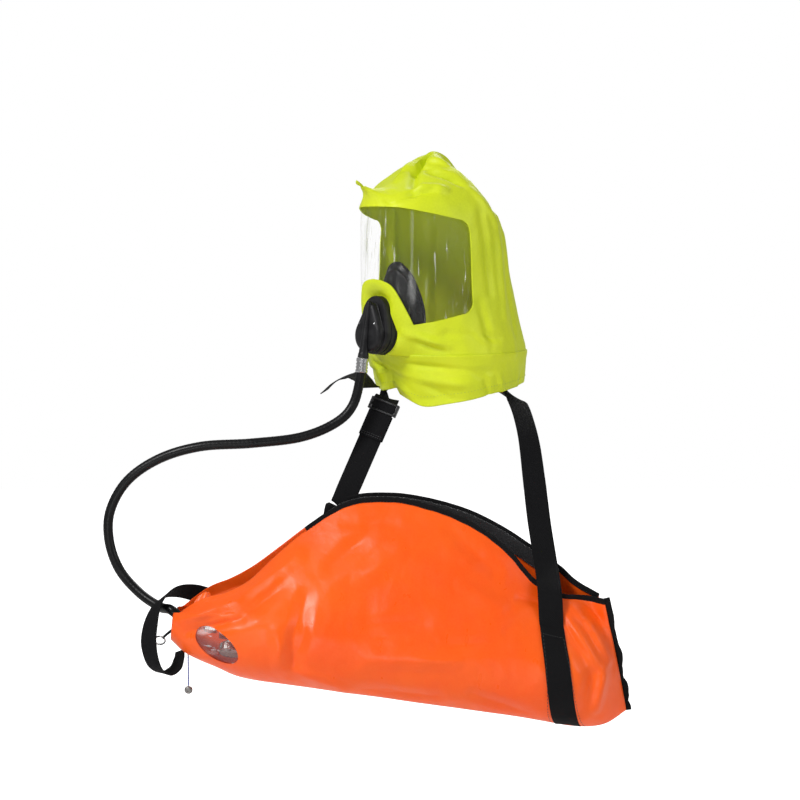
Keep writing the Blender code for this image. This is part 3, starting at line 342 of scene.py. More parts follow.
def pushed(rows, amount, closed=False):
    """The rows moved along the sheet's own normal by amount(point), outwards above zero."""
    found = []
    last, width = len(rows) - 1, len(rows[0])
    for i, row in enumerate(rows):
        moved = []
        for j, point in enumerate(row):
            if closed:
                before, after = row[j - 1], row[(j + 1) % width]
            else:
                before, after = row[max(0, j - 1)], row[min(width - 1, j + 1)]
            run, rise = after - before, rows[min(last, i + 1)][j] - rows[max(0, i - 1)][j]
            normal = run.cross(rise)
            move = amount(point) if normal.length > 1e-9 else 0.0
            moved.append(point + normal.normalized() * move if move else point.copy())
        found.append(moved)
    return found


def settle(obj):
    """Applies the modifiers of an object."""
    graph = bpy.context.evaluated_depsgraph_get()
    mesh = bpy.data.meshes.new_from_object(
        obj.evaluated_get(graph), preserve_all_data_layers=True, depsgraph=graph
    )
    old = obj.data
    obj.modifiers.clear()
    obj.data = mesh
    bpy.data.meshes.remove(old)


def thick(obj, thickness, offset):
    """Gives a sheet its thickness: inwards at offset -1, both ways at 0, outwards at 1."""
    step = obj.modifiers.new("Solidify", "SOLIDIFY")
    step.thickness = thickness * MM
    step.offset = offset
    settle(obj)


def boolean(obj, tool, operation):
    """Cuts an object with another, or keeps only what lies in it, and removes the other."""
    step = obj.modifiers.new("Cut", "BOOLEAN")
    step.operation = operation
    step.object = tool
    settle(obj)
    bpy.data.objects.remove(tool)


def cut(obj, rings, operation="DIFFERENCE"):
    """Cuts an object with the closed form through these rings of points."""
    boolean(obj, meshed("cutter", loft(rings)), operation)


def skin(rings, uv, capped, closed):
    """A skin through rings of equal point counts. uv(k, i) is the UV of point k of ring i."""
    bm = bmesh.new()
    layer = bm.loops.layers.uv.new("UVMap")
    made = [[bm.verts.new(p) for p in ring] for ring in rings]
    count = len(rings[0])
    pairs = list(zip(range(len(made)), range(1, len(made))))
    if closed:
        pairs.append((len(made) - 1, 0))
    for i, up in pairs:
        for k in range(count):
            right = (k + 1) % count
            face = bm.faces.new((made[i][k], made[i][right], made[up][right], made[up][k]))
            for loop, spot in zip(face.loops, ((k, i), (k + 1, i), (k + 1, i + 1), (k, i + 1))):
                loop[layer].uv = uv(*spot)
    if capped and not closed:
        bm.faces.new(made[0][::-1])
        bm.faces.new(made[-1])
    bmesh.ops.recalc_face_normals(bm, faces=bm.faces)
    return bm


def loft(rings, capped=True, closed=False):
    """A skin with flat ends, or open, or closed on itself."""
    count = len(rings[0])
    return skin(rings, lambda k, i: (k / count, i / len(rings)), capped, closed)


def turned(profile, sides, place):
    """A profile of (radius, height) in millimetres turned about Z, then put in place."""
    rings = []
    for r, height in profile:
        rings.append([mm(r * math.cos(turn), r * math.sin(turn), height) for turn in turns(sides)])
    bm = loft(rings)
    bm.transform(place)
    return bm


def standing(place, foot, axis):
    """The matrix that stands a turned shape's Z along axis at foot, in a frame's own millimetres."""
    turn = Vector((0, 0, 1)).rotation_difference(Vector(axis)).to_matrix().to_4x4()
    return place @ Matrix.Translation(Vector(foot) * MM) @ turn


def smooth_path(route, count):
    """count points along a smooth curve through the route's own points, evenly spaced."""
    points = [route[0] * 2 - route[1], *route, route[-1] * 2 - route[-2]]
    fine = []
    for a, b, c, d in zip(points, points[1:], points[2:], points[3:]):
        for step in range(24):
            t = step / 24
            fine.append(0.5 * (2 * b + (c - a) * t + (2 * a - 5 * b + 4 * c - d) * t**2
                               + (3 * b - a - 3 * c + d) * t**3))
    fine.append(route[-1].copy())
    return spaced(fine, count)


def spaced(fine, count):
    """count points at equal distances along a chain of points."""
    reach = [0.0]
    for a, b in zip(fine, fine[1:]):
        reach.append(reach[-1] + (b - a).length)
    found, k = [], 0
    for i in range(count):
        wanted = reach[-1] * i / (count - 1)
        while k < len(reach) - 2 and reach[k + 1] < wanted:
            k += 1
        share = (wanted - reach[k]) / max(reach[k + 1] - reach[k], 1e-9)
        found.append(fine[k].lerp(fine[k + 1], min(1.0, share)))
    return found


def tube_rings(path, radius, sides):
    """Rings of a round cord along a path. radius is a number, or a function of the share of the path."""
    rings = []
    side = Vector((0.3, 0.9, 0.2))
    for k, point in enumerate(path):
        run = (path[min(k + 1, len(path) - 1)] - path[max(k - 1, 0)]).normalized()
        side = (side - run * side.dot(run)).normalized()
        up = run.cross(side)
        size = radius(k / (len(path) - 1)) if callable(radius) else radius
        rings.append([
            point + (side * math.cos(turn) + up * math.sin(turn)) * size * MM for turn in turns(sides)
        ])
    return rings


def web_section(width, thickness):
    """A flat webbing's cross-section with rounded edges: (across, out)."""
    half, edge = width / 2 - thickness / 2, thickness / 2
    top = [(-half + 2 * half * k / 8, edge) for k in range(9)]
    cap = [(half + edge * math.sin(a), edge * math.cos(a)) for a in (0.79, 1.57, 2.36)]
    low = [(x, -y) for x, y in reversed(top)]
    far = [(-x, -y) for x, y in cap]
    return top + cap + low + far


def ribbon(
    name, centres, across, width, thickness, paint, slot, body, node=None, closed=False, wave=None,
):
    """A webbing along its middle line, with the direction across it at each point, and UVs in metres."""
    section = web_section(width, thickness)
    last = len(centres) - 1
    rings, reach = [], [0.0]
    for k, point in enumerate(centres):
        if closed:
            run = centres[(k + 1) % len(centres)] - centres[k - 1]
        else:
            run = centres[min(k + 1, last)] - centres[max(k - 1, 0)]
        side = across[k] - run * across[k].dot(run) / run.length_squared
        side.normalize()
        out = side.cross(run).normalized()
        if k:
            reach.append(reach[-1] + (point - centres[k - 1]).length)
        lift = wave(k / last) if wave else 0.0
        rings.append([point + (side * x + out * (y + lift)) * MM for x, y in section])
    reach.append(reach[-1] + (centres[0] - centres[-1]).length)

    def uv(k, i):
        return (section[k % len(section)][0] + width / 2) * MM, reach[i]

    return add_object(name, skin(rings, uv, True, closed), paint, body, node)


def carried(keys, count):
    """Middle line and cross direction resampled from (point, across) keys."""
    centres = smooth_path([p for p, _ in keys], count)
    across = []
    for point in centres:
        best = None
        for (a, side_a), (b, side_b) in zip(keys, keys[1:]):
            share = unit((point - a).dot(b - a) / (b - a).length_squared)
            away = (point - a.lerp(b, share)).length
            if best is None or away < best[0]:
                best = (away, side_a.normalized().lerp(side_b.normalized(), share))
        across.append(best[1])
    return centres, across


def stitches(name, path, out, paint, body, length=3.2, gap=1.6, radius=0.32):
    """A row of thread stitches along a path. out is the side they stand on, or gives it at a point."""
    bm = bmesh.new()
    reach = 0.0
    for a, b in zip(path, path[1:]):
        reach += (b - a).length
    step = (length + gap) * MM
    count = max(2, int(reach / step))
    marks = spaced(path, count * 6 + 1)
    for k in range(count):
        start, end = marks[k * 6], marks[k * 6 + int(6 * length / (length + gap))]
        run = (end - start).normalized()
        up = out(start).normalized() if callable(out) else out.normalized()
        side = run.cross(up).normalized()
        rings = []
        for share, size in ((0.0, 0.3), (0.15, 0.9), (0.5, 1.0), (0.85, 0.9), (1.0, 0.3)):
            centre = start.lerp(end, share) + up * math.sin(math.pi * share) * 0.25 * MM
            rings.append([
                bm.verts.new(centre + (side * math.cos(turn) + up * math.sin(turn)) * size * radius * MM)
                for turn in turns(6)
            ])
        for low, high in zip(rings, rings[1:]):
            for j in range(6):
                bm.faces.new((low[j], low[(j + 1) % 6], high[(j + 1) % 6], high[j]))
        bm.faces.new(rings[0][::-1])
        bm.faces.new(rings[-1])
    bmesh.ops.recalc_face_normals(bm, faces=bm.faces)
    return add_object(name, bm, paint, body)


# ---------------------------------------------------------------- materials


class Finish:
    """A Principled material, with short calls for the nodes that drive it."""

    def __init__(self, name, colour, roughness, **values):
        self.material = bpy.data.materials.new(name)
        self.material.use_nodes = True
        self.tree = self.material.node_tree
        self.shader = self.tree.nodes["Principled BSDF"]
        self.shader.inputs["Base Color"].default_value = (*colour, 1)
        self.shader.inputs["Roughness"].default_value = roughness
        for label, value in values.items():
            self.shader.inputs[label.replace("_", " ")].default_value = value
        self.material.diffuse_color = (*colour, 1)

    def feed(self, socket, value):
        """Sets a socket to a value, or links another socket to it."""
        if isinstance(value, bpy.types.NodeSocket):
            self.tree.links.new(value, socket)
        else:
            socket.default_value = value

    def node(self, kind, settings=None, **inputs):
        made = self.tree.nodes.new(kind)
        for label, value in (settings or {}).items():
            setattr(made, label, value)
        for label, value in inputs.items():
            self.feed(made.inputs[label.replace("_", " ")], value)
        return made

    def place(self, kind="Object", scale=(1, 1, 1)):
        source = self.node("ShaderNodeTexCoord").outputs[kind]
        return self.node("ShaderNodeMapping", Vector=source, Scale=scale).outputs["Vector"]

    def noise(self, scale, detail=3.0, stretch=(1, 1, 1)):
        spot = self.place("Object", stretch)
        return self.node("ShaderNodeTexNoise", Vector=spot, Scale=scale, Detail=detail).outputs["Fac"]

    def maths(self, operation, a, b=0.0):
        made = self.node("ShaderNodeMath", {"operation": operation})
        for socket, value in zip(made.inputs, (a, b)):
            self.feed(socket, value)
        return made.outputs[0]

    def ranged(self, value, low, high, to_low=0.0, to_high=1.0):
        made = self.node("ShaderNodeMapRange", Value=value, From_Min=low, From_Max=high)
        self.feed(made.inputs["To Min"], to_low)
        self.feed(made.inputs["To Max"], to_high)
        return made.outputs["Result"]

    def mixed(self, share, a, b):
        made = self.node("ShaderNodeMix", {"data_type": "RGBA"})
        self.feed(made.inputs[0], share)
        for socket, colour in zip((made.inputs[6], made.inputs[7]), (a, b)):
            self.feed(socket, (*colour, 1) if isinstance(colour, tuple) else colour)
        return made.outputs[2]

    def colour(self, socket):
        self.drive("Base Color", socket)

    def drive(self, label, socket):
        self.tree.links.new(socket, self.shader.inputs[label])

    def bump(self, height, distance, strength=1.0):
        made = self.node("ShaderNodeBump", Height=height, Distance=distance, Strength=strength)
        old = self.shader.inputs["Normal"].links
        if old:
            self.tree.links.new(old[0].from_socket, made.inputs["Normal"])
        self.tree.links.new(made.outputs["Normal"], self.shader.inputs["Normal"])

    def weave(self, pitch):
        """Plain weave: the height of crossing threads, from 0 to 1."""
        spot = self.node("ShaderNodeSeparateXYZ", Vector=self.place("UV"))
        waves = []
        for along in spot.outputs[:2]:
            waves.append(self.maths("SINE", self.maths("MULTIPLY", along, math.pi / pitch)))
        return self.ranged(self.maths("MULTIPLY", *waves), -1, 1)


def coated_cloth(name, fold_shade_colour, bright, gloss, weave):
    """Coated cloth: painted shade, its colour deeper in broad random patches as if in the shade of soft
    folds; a fine weave shows through, with scuffs.
    """
    made = Finish(name, bright, gloss, Specular_IOR_Level=0.35, Coat_Weight=0.05, Coat_Roughness=0.3)
    # Painted shade: broad random patches take the deeper colour that soft folds have in shade.
    soft = made.ranged(made.noise(9, 4), 0.35, 0.68)
    fold_shaded_tone = made.mixed(soft, fold_shade_colour, bright)
    fine = made.ranged(made.noise(420, 2), 0.3, 0.7)
    pale = tuple(min(1.0, c * 1.12 + 0.01) for c in bright)
    made.colour(made.mixed(made.maths("MULTIPLY", fine, 0.25), fold_shaded_tone, pale))
    scuff = made.ranged(made.noise(60, 6, (1, 1, 0.4)), 0.3, 0.75, gloss - 0.07, gloss + 0.12)
    made.drive("Roughness", scuff)
    made.bump(made.weave(weave), 0.00012, 0.5)
    made.bump(made.noise(140, 5), 0.0006, 0.35)
    made.bump(made.noise(34, 3), 0.0025, 0.3)
    return made.material


def woven(name, colour, bright, pitch=0.0011):
    """Black webbing: ribs along and across, with a painted sheen that lightens the high threads."""
    made = Finish(name, colour, 0.72, Specular_IOR_Level=0.12)
    threads = made.weave(pitch)
    fibre = made.noise(900, 2)
    # Painted sheen: the high threads, broken up by the fibre noise, take the lighter colour.
    made.colour(made.mixed(made.maths("MULTIPLY", threads, fibre), colour, bright))
    made.drive("Roughness", made.ranged(fibre, 0.2, 0.8, 0.6, 0.85))
    made.bump(threads, 0.0005, 0.9)
    made.bump(fibre, 0.0002, 0.4)
    return made.material


def rubber(name, colour, roughness, grain=500, dust=0.03):
    made = Finish(name, colour, roughness, Specular_IOR_Level=0.2)
    spots = made.noise(45, 5)
    pale = tuple(c + dust for c in colour)
    made.colour(made.mixed(made.ranged(spots, 0.45, 0.8), colour, pale))
    made.drive("Roughness", made.ranged(spots, 0.3, 0.7, roughness - 0.07, roughness + 0.12))
    made.bump(made.noise(grain, 4), 0.0002, 0.4)
    return made.material


def moulded(name, colour, roughness):
    """Moulded plastic with a fine spark-eroded grain."""
    made = Finish(name, colour, roughness, Specular_IOR_Level=0.22)
    grain = made.node("ShaderNodeTexVoronoi", Vector=made.place(), Scale=1400.0).outputs["Distance"]
    worn = made.ranged(made.noise(70, 5), 0.4, 0.75)
    pale = tuple(c * 1.6 + 0.01 for c in colour)
    made.colour(made.mixed(worn, colour, pale))
    made.drive("Roughness", made.ranged(worn, 0, 1, roughness, roughness + 0.14))
    made.bump(grain, 0.00015, 0.5)
    return made.material


def metal(name, colour, roughness, scratch=(1, 1, 12), tarnish=0.6):
    """Worked metal: fine lines one way, and a little staining."""
    made = Finish(name, colour, roughness, Metallic=1.0)
    lines = made.noise(700, 3, scratch)
    stain = made.ranged(made.noise(60, 5), 0.45, 0.8)
    dull = tuple(c * tarnish for c in colour)
    made.colour(made.mixed(stain, colour, dull))
    made.drive("Roughness", made.ranged(lines, 0.2, 0.8, roughness - 0.06, roughness + 0.12))
    made.bump(lines, 0.00006, 0.5)
    return made.material


def painted(name, colour, roughness):
    """Sprayed paint: orange peel and faint scuffs."""
    made = Finish(name, colour, roughness, Coat_Weight=0.3, Coat_Roughness=0.15)
    scuff = made.ranged(made.noise(120, 6, (6, 1, 1)), 0.5, 0.8)
    made.colour(made.mixed(scuff, colour, tuple(c * 0.8 for c in colour)))
    made.drive("Roughness", made.ranged(scuff, 0, 1, roughness, roughness + 0.2))
    made.bump(made.noise(350, 2), 0.0002, 0.3)
    return made.material


def film_finish(name, tint, least, painted_streak_strength, stretch):
    """Clear soft film: see-through, with painted reflections along it: bright creases and a hazy white
    streak pattern, where the lit white film is mixed over the clear.
    """
    made = Finish(name, tint, 0.06, Specular_IOR_Level=0.8, Coat_Weight=0.5, Coat_Roughness=0.03)
    # Painted reflections: two noises stretched along the film pick the streak lines where the lit white
    # film shows over the clear.
    wide = made.ranged(made.noise(22, 2, stretch), 0.6, 0.78)
    thin = made.ranged(made.noise(70, 4, stretch), 0.64, 0.7)
    both = made.maths("ADD", made.maths("MULTIPLY", wide, 0.5), made.maths("MULTIPLY", thin, 0.6))
    rim = made.node("ShaderNodeLayerWeight", Blend=0.25).outputs["Facing"]
    haze = made.maths("MULTIPLY", made.maths("POWER", rim, 5.0), 0.4)
    share = made.maths("ADD", made.maths("ADD", made.maths("MULTIPLY", both, painted_streak_strength), haze), least)
    clear = made.node("ShaderNodeBsdfTransparent").outputs[0]
    blend = made.node("ShaderNodeMixShader")
    share = made.maths("MINIMUM", share, 0.85)
    for socket, source in zip(blend.inputs, (share, clear, made.shader.outputs[0])):
        made.feed(socket, source)
    made.feed(made.tree.nodes["Material Output"].inputs["Surface"], blend.outputs[0])
    made.bump(made.noise(60, 3, stretch), 0.002, 0.5)
    return made.material


def thread(name, colour):
    made = Finish(name, colour, 0.55, Sheen_Weight=0.2)
    twist = made.noise(1500, 2, (1, 1, 3))
    made.colour(made.mixed(twist, tuple(c * 0.6 for c in colour), colour))
    made.bump(twist, 0.0001, 0.6)
    return made.material


def fuzz_finish():
    """Hook-and-loop tape: a felt of small loops."""
    made = Finish("hook_and_loop", (0.008, 0.008, 0.009), 0.9, Sheen_Weight=0.5, Sheen_Roughness=0.3)
    loops = made.node("ShaderNodeTexVoronoi", Vector=made.place(), Scale=900.0).outputs["Distance"]
    made.colour(made.mixed(loops, (0.004, 0.004, 0.005), (0.035, 0.035, 0.038)))
    made.bump(loops, 0.0012, 1.0)
    made.bump(made.noise(300, 4), 0.0015, 0.6)
    return made.material


def glass_finish():
    """Clear plastic that lets most light through."""
    made = Finish("gauge_lens", (0.95, 0.97, 0.97), 0.03, Coat_Weight=0.5)
    made.drive("Alpha", made.ranged(made.noise(80, 4), 0.3, 0.8, 0.1, 0.22))
    return made.material


# The first colour of each cloth is the painted shade of its soft folds.
YELLOW = coated_cloth("hood_cloth", (0.56, 0.67, 0.008), (0.68, 0.77, 0.012), 0.46, 0.0006)
ORANGE = coated_cloth("bag_cloth", (0.97, 0.09, 0.002), (1.0, 0.125, 0.004), 0.34, 0.0009)
# Both films carry painted reflections: white streak lines of lit film over the clear.
VISOR_FILM = film_finish("visor_film", (0.95, 0.96, 0.93), 0.012, 0.5, (2.6, 2.6, 0.3))
WINDOW_FILM = film_finish("window_film", (0.95, 0.95, 0.96), 0.04, 0.6, (0.6, 1, 2.2))
# The second colour of each webbing is its painted sheen on the high threads.
WEBBING = woven("black_webbing", (0.002, 0.002, 0.0025), (0.013, 0.013, 0.0145))
TAPE = woven("binding_tape", (0.003, 0.003, 0.0035), (0.02, 0.02, 0.022), 0.0007)
MASK_RUBBER = rubber("mask_rubber", (0.004, 0.004, 0.005), 0.3, 300, 0.003)
HOSE_RUBBER = rubber("hose_rubber", (0.005, 0.005, 0.0055), 0.34, 800, 0.004)
SEAL_RUBBER = rubber("seal_rubber", (0.02, 0.02, 0.021), 0.55)
SILICONE = rubber("silicone", (0.05, 0.05, 0.054), 0.4)
BLACK_PLASTIC = moulded("valve_plastic", (0.008, 0.008, 0.009), 0.4)
SLIDER_PLASTIC = moulded("slider_plastic", (0.01, 0.01, 0.011), 0.3)
RED_PLASTIC = moulded("cap_plastic", (0.35, 0.01, 0.01), 0.35)
STEEL = metal("bright_steel", (0.72, 0.72, 0.73), 0.2)
PLATED = metal("plated_brass", (0.78, 0.77, 0.74), 0.16)
BRASS = metal("brass", (0.72, 0.5, 0.2), 0.26)
LEAD = metal("lead", (0.34, 0.33, 0.32), 0.42, (1, 1, 1), 0.5)
GREY_PAINT = painted("cylinder_paint", (0.42, 0.43, 0.44), 0.3)
DIAL_WHITE = painted("dial_white", (0.86, 0.86, 0.84), 0.4)
BLACK_PAINT = painted("needle_black", (0.01, 0.01, 0.01), 0.4)
GREEN_PAINT = painted("dial_green", (0.05, 0.4, 0.08), 0.4)
BLUE_THREAD = thread("blue_thread", (0.02, 0.05, 0.38))
YELLOW_THREAD = thread("yellow_thread", (0.5, 0.66, 0.05))
BLACK_THREAD = thread("black_thread", (0.03, 0.03, 0.032))
FUZZ = fuzz_finish()
LENS = glass_finish()


# ---------------------------------------------------------------- camera and hose


def make_camera():
    view = bpy.data.cameras.new("camera")
    view.sensor_width = SENSOR
    view.lens = SENSOR * CAMERA_AWAY / CAMERA_SPAN
    camera = linked("camera", view)
    back = Vector((0, -math.cos(CAMERA_RISE), math.sin(CAMERA_RISE)))
    camera.location = CAMERA_AIM + back * CAMERA_AWAY
    camera.rotation_euler = (math.pi / 2 - CAMERA_RISE, 0, 0)
    bpy.context.scene.camera = camera


def hose_route():
    """From the crimp under the valve, out in a wide bow past the shoulder, and into the bag's end."""
    start = valve_place(Vector((0, -15.6, STEM_BOTTOM - GAP)))
    below = valve_place(Vector((0, -16.2, STEM_BOTTOM - FERRULE_LENGTH)))
    loose = (
        (-110, -104, -28), (-132, -110, -51), (-175, -117, -68), (-236, -122, -75),
        (-298, -122, -79), (-349, -120, -94), (-389, -120, -121), (-411, -121, -158),
        (-413, -124, -195), (-400, -130, -231), (-374, -142, -258), (-347, -156, -273),
    )
    inlet = ((-286, 9, -3), (-273, 2, -1), (-265, 0, 0), (-256, 0, 0), (OUTLET_END_U - GAP, 0, 0))
    return [start, below] + [mm(*p) for p in loose] + [bag_place(*p) for p in inlet]


def make_hose():
    """The low-pressure hose, with the faint ribs of the cord wound inside its wall."""
    path = smooth_path(hose_route(), 420)
    length = 0.0
    for a, b in zip(path, path[1:]):
        length += (b - a).length
    ribs = length / HOSE_PITCH

    def radius(share):
        return HOSE_R + 0.07 * math.sin(2 * math.pi * ribs * share)

    rings = tube_rings(path, radius, 28)
    hose = add_object("hose", loft(rings), HOSE_RUBBER, node="breathing_hose")
    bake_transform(hose)


def make_ferrules():
    """Crimped sleeves at both ends of the hose."""
    bore, rim, groove = HOSE_R + 0.5, 7.8, 7.1
    profile = [(bore, 0), (rim - 0.5, 0), (rim, 0.5)]
    for start in (3.2, 7.2, 11.2):
        profile += [(rim, start), (groove, start + 0.5), (groove, start + 1.9), (rim, start + 2.4)]
    profile += [(rim, FERRULE_LENGTH - 0.5), (rim - 0.5, FERRULE_LENGTH), (bore, FERRULE_LENGTH)]
    upper = standing(VALVE_MATRIX, (0, -16.2, STEM_BOTTOM - GAP - FERRULE_LENGTH), (0, 0.008, 1))
    lower = standing(BAG_MATRIX, (OUTLET_END_U - GAP - FERRULE_LENGTH, 0, 0), (1, 0, 0))
    for end, place, body in (("upper", upper, "hood"), ("lower", lower, "harness")):
        rings = []
        for radius, height in profile:
            ring = []
            for turn in turns(40):
                r = radius * (1 - 0.012 * (1 + math.cos(8 * turn)))
                ring.append(mm(r * math.cos(turn), r * math.sin(turn), height))
            rings.append(ring)
        bm = loft(rings, closed=True)
        bm.transform(place)
        add_object("crimp_" + end, bm, STEEL, body, "ferrule_" + end)


# ---------------------------------------------------------------- hood


def hood_wall(angle, height, inset=0.0):
    """A point of the hood's wall: -Y is forward and +X is the wearer's left."""
    turn = math.radians(angle)
    reach = read(HOOD_STATIONS, height, 2 if math.cos(turn) > 0 else 3) - inset
    width = read(HOOD_STATIONS, height, 1) - inset
    return Vector((width * math.sin(turn), -reach * math.cos(turn), height))


def hood_crown(angle, share, inset=0.0):
    """From the top of the wall, at share 0, to the seam along the crown, at share 1."""
    start = hood_wall(angle, HOOD_STATIONS[-1][0], inset)
    forward, height = (read(RIDGE, abs(angle), column) for column in (1, 2))
    end = Vector((0, -forward + math.copysign(inset, forward), height - 1.5 * inset))
    swell = 0.75 - 0.4 * max(0.0, -math.cos(math.radians(angle)))
    shoulder = start + Vector((0, 0, (end.z - start.z) * swell))
    if angle > SLUMP_FROM:
        shoulder.x *= 1 - SLUMP * math.sin(math.radians(angle - SLUMP_FROM))
    return start * (1 - share) ** 2 + shoulder * 2 * share * (1 - share) + end * share**2


def hood_folds(point):
    """Outward push of the hood's cloth at a point: pinched folds and slack, calmer round the valve."""
    forward = Vector((point.x, -point.y, point.z))
    calm = min(1.0, max(0.15, math.hypot(point.x, point.y + 118) / 60))
    slack = ripple(point, 34, (1, 1, 0.35)) * 1.1 + crumple(point, 46, (1, 1, 0.4)) * 1.1
    slack += crumple(point, 17, (1, 1, 0.6)) * 0.3
    sharp = 1.35 + 0.45 * unit((point.z - 215) / 20)
    return (slack - folded(forward, HOOD_FOLDS) * sharp) * calm


def hood_rows(low, inset=0.0, wall_rows=WALL_ROWS, crown_rows=CROWN_ROWS, columns=HOOD_COLUMNS):
    """Rows of points round the hood, from a height up the wall and up the crown."""
    top = HOOD_STATIONS[-1][0]
    angles = [360 * k / columns - 180 for k in range(columns)]
    rows = []
    for i in range(wall_rows):
        rows.append([hood_wall(a, low + (top - low) * i / wall_rows, inset) for a in angles])
    for i in range(crown_rows + 1):
        rows.append([hood_crown(a, i / crown_rows, inset) for a in angles])
    return rows


def side_outline(lap):
    """The window from the side, lap wider all round: (reach forward, height)."""
    corner = WINDOW_CORNER
    back, top, low = WINDOW_BACK - lap, WINDOW_TOP_BACK + lap, WINDOW_LOW_BACK - lap
    outline = [(WINDOW_PAST, WINDOW_LOW_FRONT - 12 - lap), (WINDOW_BEND, WINDOW_LOW_FRONT - lap)]
    for first, rise in ((270, low + corner), (180, top - corner)):
        for step in range(13):
            turn = math.radians(first - 7.5 * step)
            outline.append((back + corner + corner * math.cos(turn), rise + corner * math.sin(turn)))
    return outline + [(WINDOW_BEND, WINDOW_TOP_FRONT - 3 + lap), (WINDOW_PAST, WINDOW_TOP_FRONT + lap)]


def window_block(lap):
    """The side outline, drawn right across the hood."""
    outline = side_outline(lap)
    return [[hood_place(Vector((x, -f, z))) for f, z in outline] for x in (-120, 120)]


def arch_block(lap):
    """The arch of cloth left round the valve, which the window doesn't cut."""
    half = [(w - lap if w else 0, z - lap) for w, z in ARCH]
    fine = smooth_path([Vector((w, z, 0)) for w, z in half], 22)
    arch = [(-p.x, p.y) for p in fine] + [(p.x, p.y) for p in reversed(fine[:-1])]
    arch += [(half[0][0], -20), (-half[0][0], -20)]
    return [[hood_place(Vector((x, y, z))) for x, z in arch] for y in (-190, -60)]


def cut_window(obj, lap, operation):
    """Cuts the window from an object, or keeps only what lies in it."""
    block = meshed("window", loft(window_block(lap)))
    cut(block, arch_block(lap))
    boolean(obj, block, operation)


def pear(lower, upper, y, grow):
    """The outline round a lower and an upper circle, at reach -y in the valve frame."""
    outline, sides = [], 96
    (r1, z1), (r2, z2) = lower, upper
    for k in range(sides):
        turn = 2 * math.pi * (k + 0.5) / sides
        low_side = r1 + z1 * math.sin(turn) > r2 + z2 * math.sin(turn)
        radius, centre = (r1, z1) if low_side else (r2, z2)
        radius += grow
        outline.append(Vector((radius * math.cos(turn), y, centre + radius * math.sin(turn))))
    return outline


def hugged(point):
    """A point of the cloth, drawn to the sides of the valve's housing where it is near them."""
    spot = VALVE_PLACE.inverted() @ (point * MM) / MM
    if spot.y > 60:
        return point
    (r1, z1), (r2, z2) = HOUSING_LOWER, HOUSING_UPPER
    share = unit((spot.z - z1) / (z2 - z1))
    away = math.hypot(spot.x, spot.z - z1 - (z2 - z1) * share) - r1 - (r2 - r1) * share
    near = max(0.0, 1 - max(0.0, away - 2) / HUG_REACH) ** 2
    spot.y += (min(HUG_BACK, max(HUG_FRONT, spot.y)) - spot.y) * near
    return VALVE_PLACE @ (spot * MM) / MM


def hood_sheet(rows):
    """A sheet right round the hood, through rows in the hood's frame."""
    return grid([[hood_place(p) for p in row] for row in rows], closed=True)


def make_hood():
    """The hood's cloth, with its window and the hole that the valve sits in cut out."""
    plain = hood_rows(SEAM_Z + 0.3)
    rows = [[hugged(p) for p in row] for row in pushed(plain, hood_folds, closed=True)]
    rows[-1] = [Vector((0, p.y, p.z)) for p in plain[-1]]
    bm = hood_sheet(rows)
    bmesh.ops.remove_doubles(bm, verts=bm.verts, dist=0.0001)
    hood = add_object("hood_cloth", bm, YELLOW, node="hood_shell", sharp=60)
    thick(hood, FABRIC, 1.0)
    cut_window(hood, 0, "DIFFERENCE")
    cut(hood, [[valve_place(p) for p in pear(HOUSING_LOWER, HOUSING_UPPER, y, 0.5)] for y in (60, -30)])
    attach(hood, "hood")


def visor_folds(point):
    """The film's own shallow creases, kept inside the cloth."""
    crease = abs(ripple(point, 30, (1, 1, 0.12))) * 1.6 + abs(ripple(point, 12, (1, 1, 0.2))) * 0.5
    return min(0.0, hood_folds(point)) - crease


def make_visor():
    """The film inside the window, wider than it by a lap all round."""
    rows = hood_rows(SEAM_Z + 8, inset=1.4, wall_rows=70, crown_rows=10, columns=200)
    bm = hood_sheet(pushed(rows[:76], visor_folds, closed=True))
    visor = add_object("visor_sheet", bm, VISOR_FILM, node="visor", sharp=60)
    thick(visor, FILM, -1.0)
    cut_window(visor, FILM_LAP, "INTERSECT")
    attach(visor, "hood")


def hem_height(angle):
    """How low the hem hangs at an angle round the hood."""
    low = read(HEM, abs(angle), 1)
    return low if angle >= 0 else HEM[-1][1] + (low - HEM[-1][1]) * HEM_FAR


def skirt_folds(point):
    """Outward push of the skirt's cloth at a point. Up at its seam it follows the hood's own folds."""
    forward = Vector((point.x, -point.y, point.z))
    free = unit((SEAM_Z - point.z) / 30)
    wave = ripple(point, 26, (1, 1, 0.3)) * 2.2 * free + ripple(point, 11, (1, 1, 0.5)) * 0.4
    push = wave - folded(forward, SKIRT_FOLDS) * min(1.0, free * 2 + 0.1)
    near = unit((18 - point.z) / 10) * unit(-point.y / 30)
    low = SKIRT_IN + (read(SKIRT_BOUNDS, point.x, 1) - SKIRT_IN) * near
    high = SKIRT_OUT + (read(SKIRT_BOUNDS, point.x, 2) - SKIRT_OUT) * near
    push = min(high, max(low, push))
    seam = unit(1 - (SEAM_Z - point.z) / 8)
    return push + (hood_folds(point) - push) * seam


def make_skirt():
    """The cloth below the seam, lapped over the hood there, and the stitches along its hem."""

    def spot(i, j):
        share, angle = i / 36, 360 * j / HOOD_COLUMNS - 180
        low = hem_height(angle)
        lap = 0.3 + 1.2 * max(0.0, share * 2 - 1)
        return hood_wall(angle, low + (SEAM_Z + 3 - low) * share, -lap)

    rows = pushed(rows_of(37, HOOD_COLUMNS, spot), skirt_folds, closed=True)
    bm = hood_sheet(rows)
    skirt = add_object("hood_skirt_cloth", bm, YELLOW, "hood", "hood_skirt", sharp=60)
    thick(skirt, FABRIC, 1.0)
    line = [hood_place(p + Vector((p.x, p.y, 0)).normalized() * 1.35) for p in rows[7]]
    stitches(
        "hem_stitches", line + line[:1], lambda p: Vector((p.x, p.y, 0)), YELLOW_THREAD,
        "hood", length=2.6, gap=1.8, radius=0.28,
    )


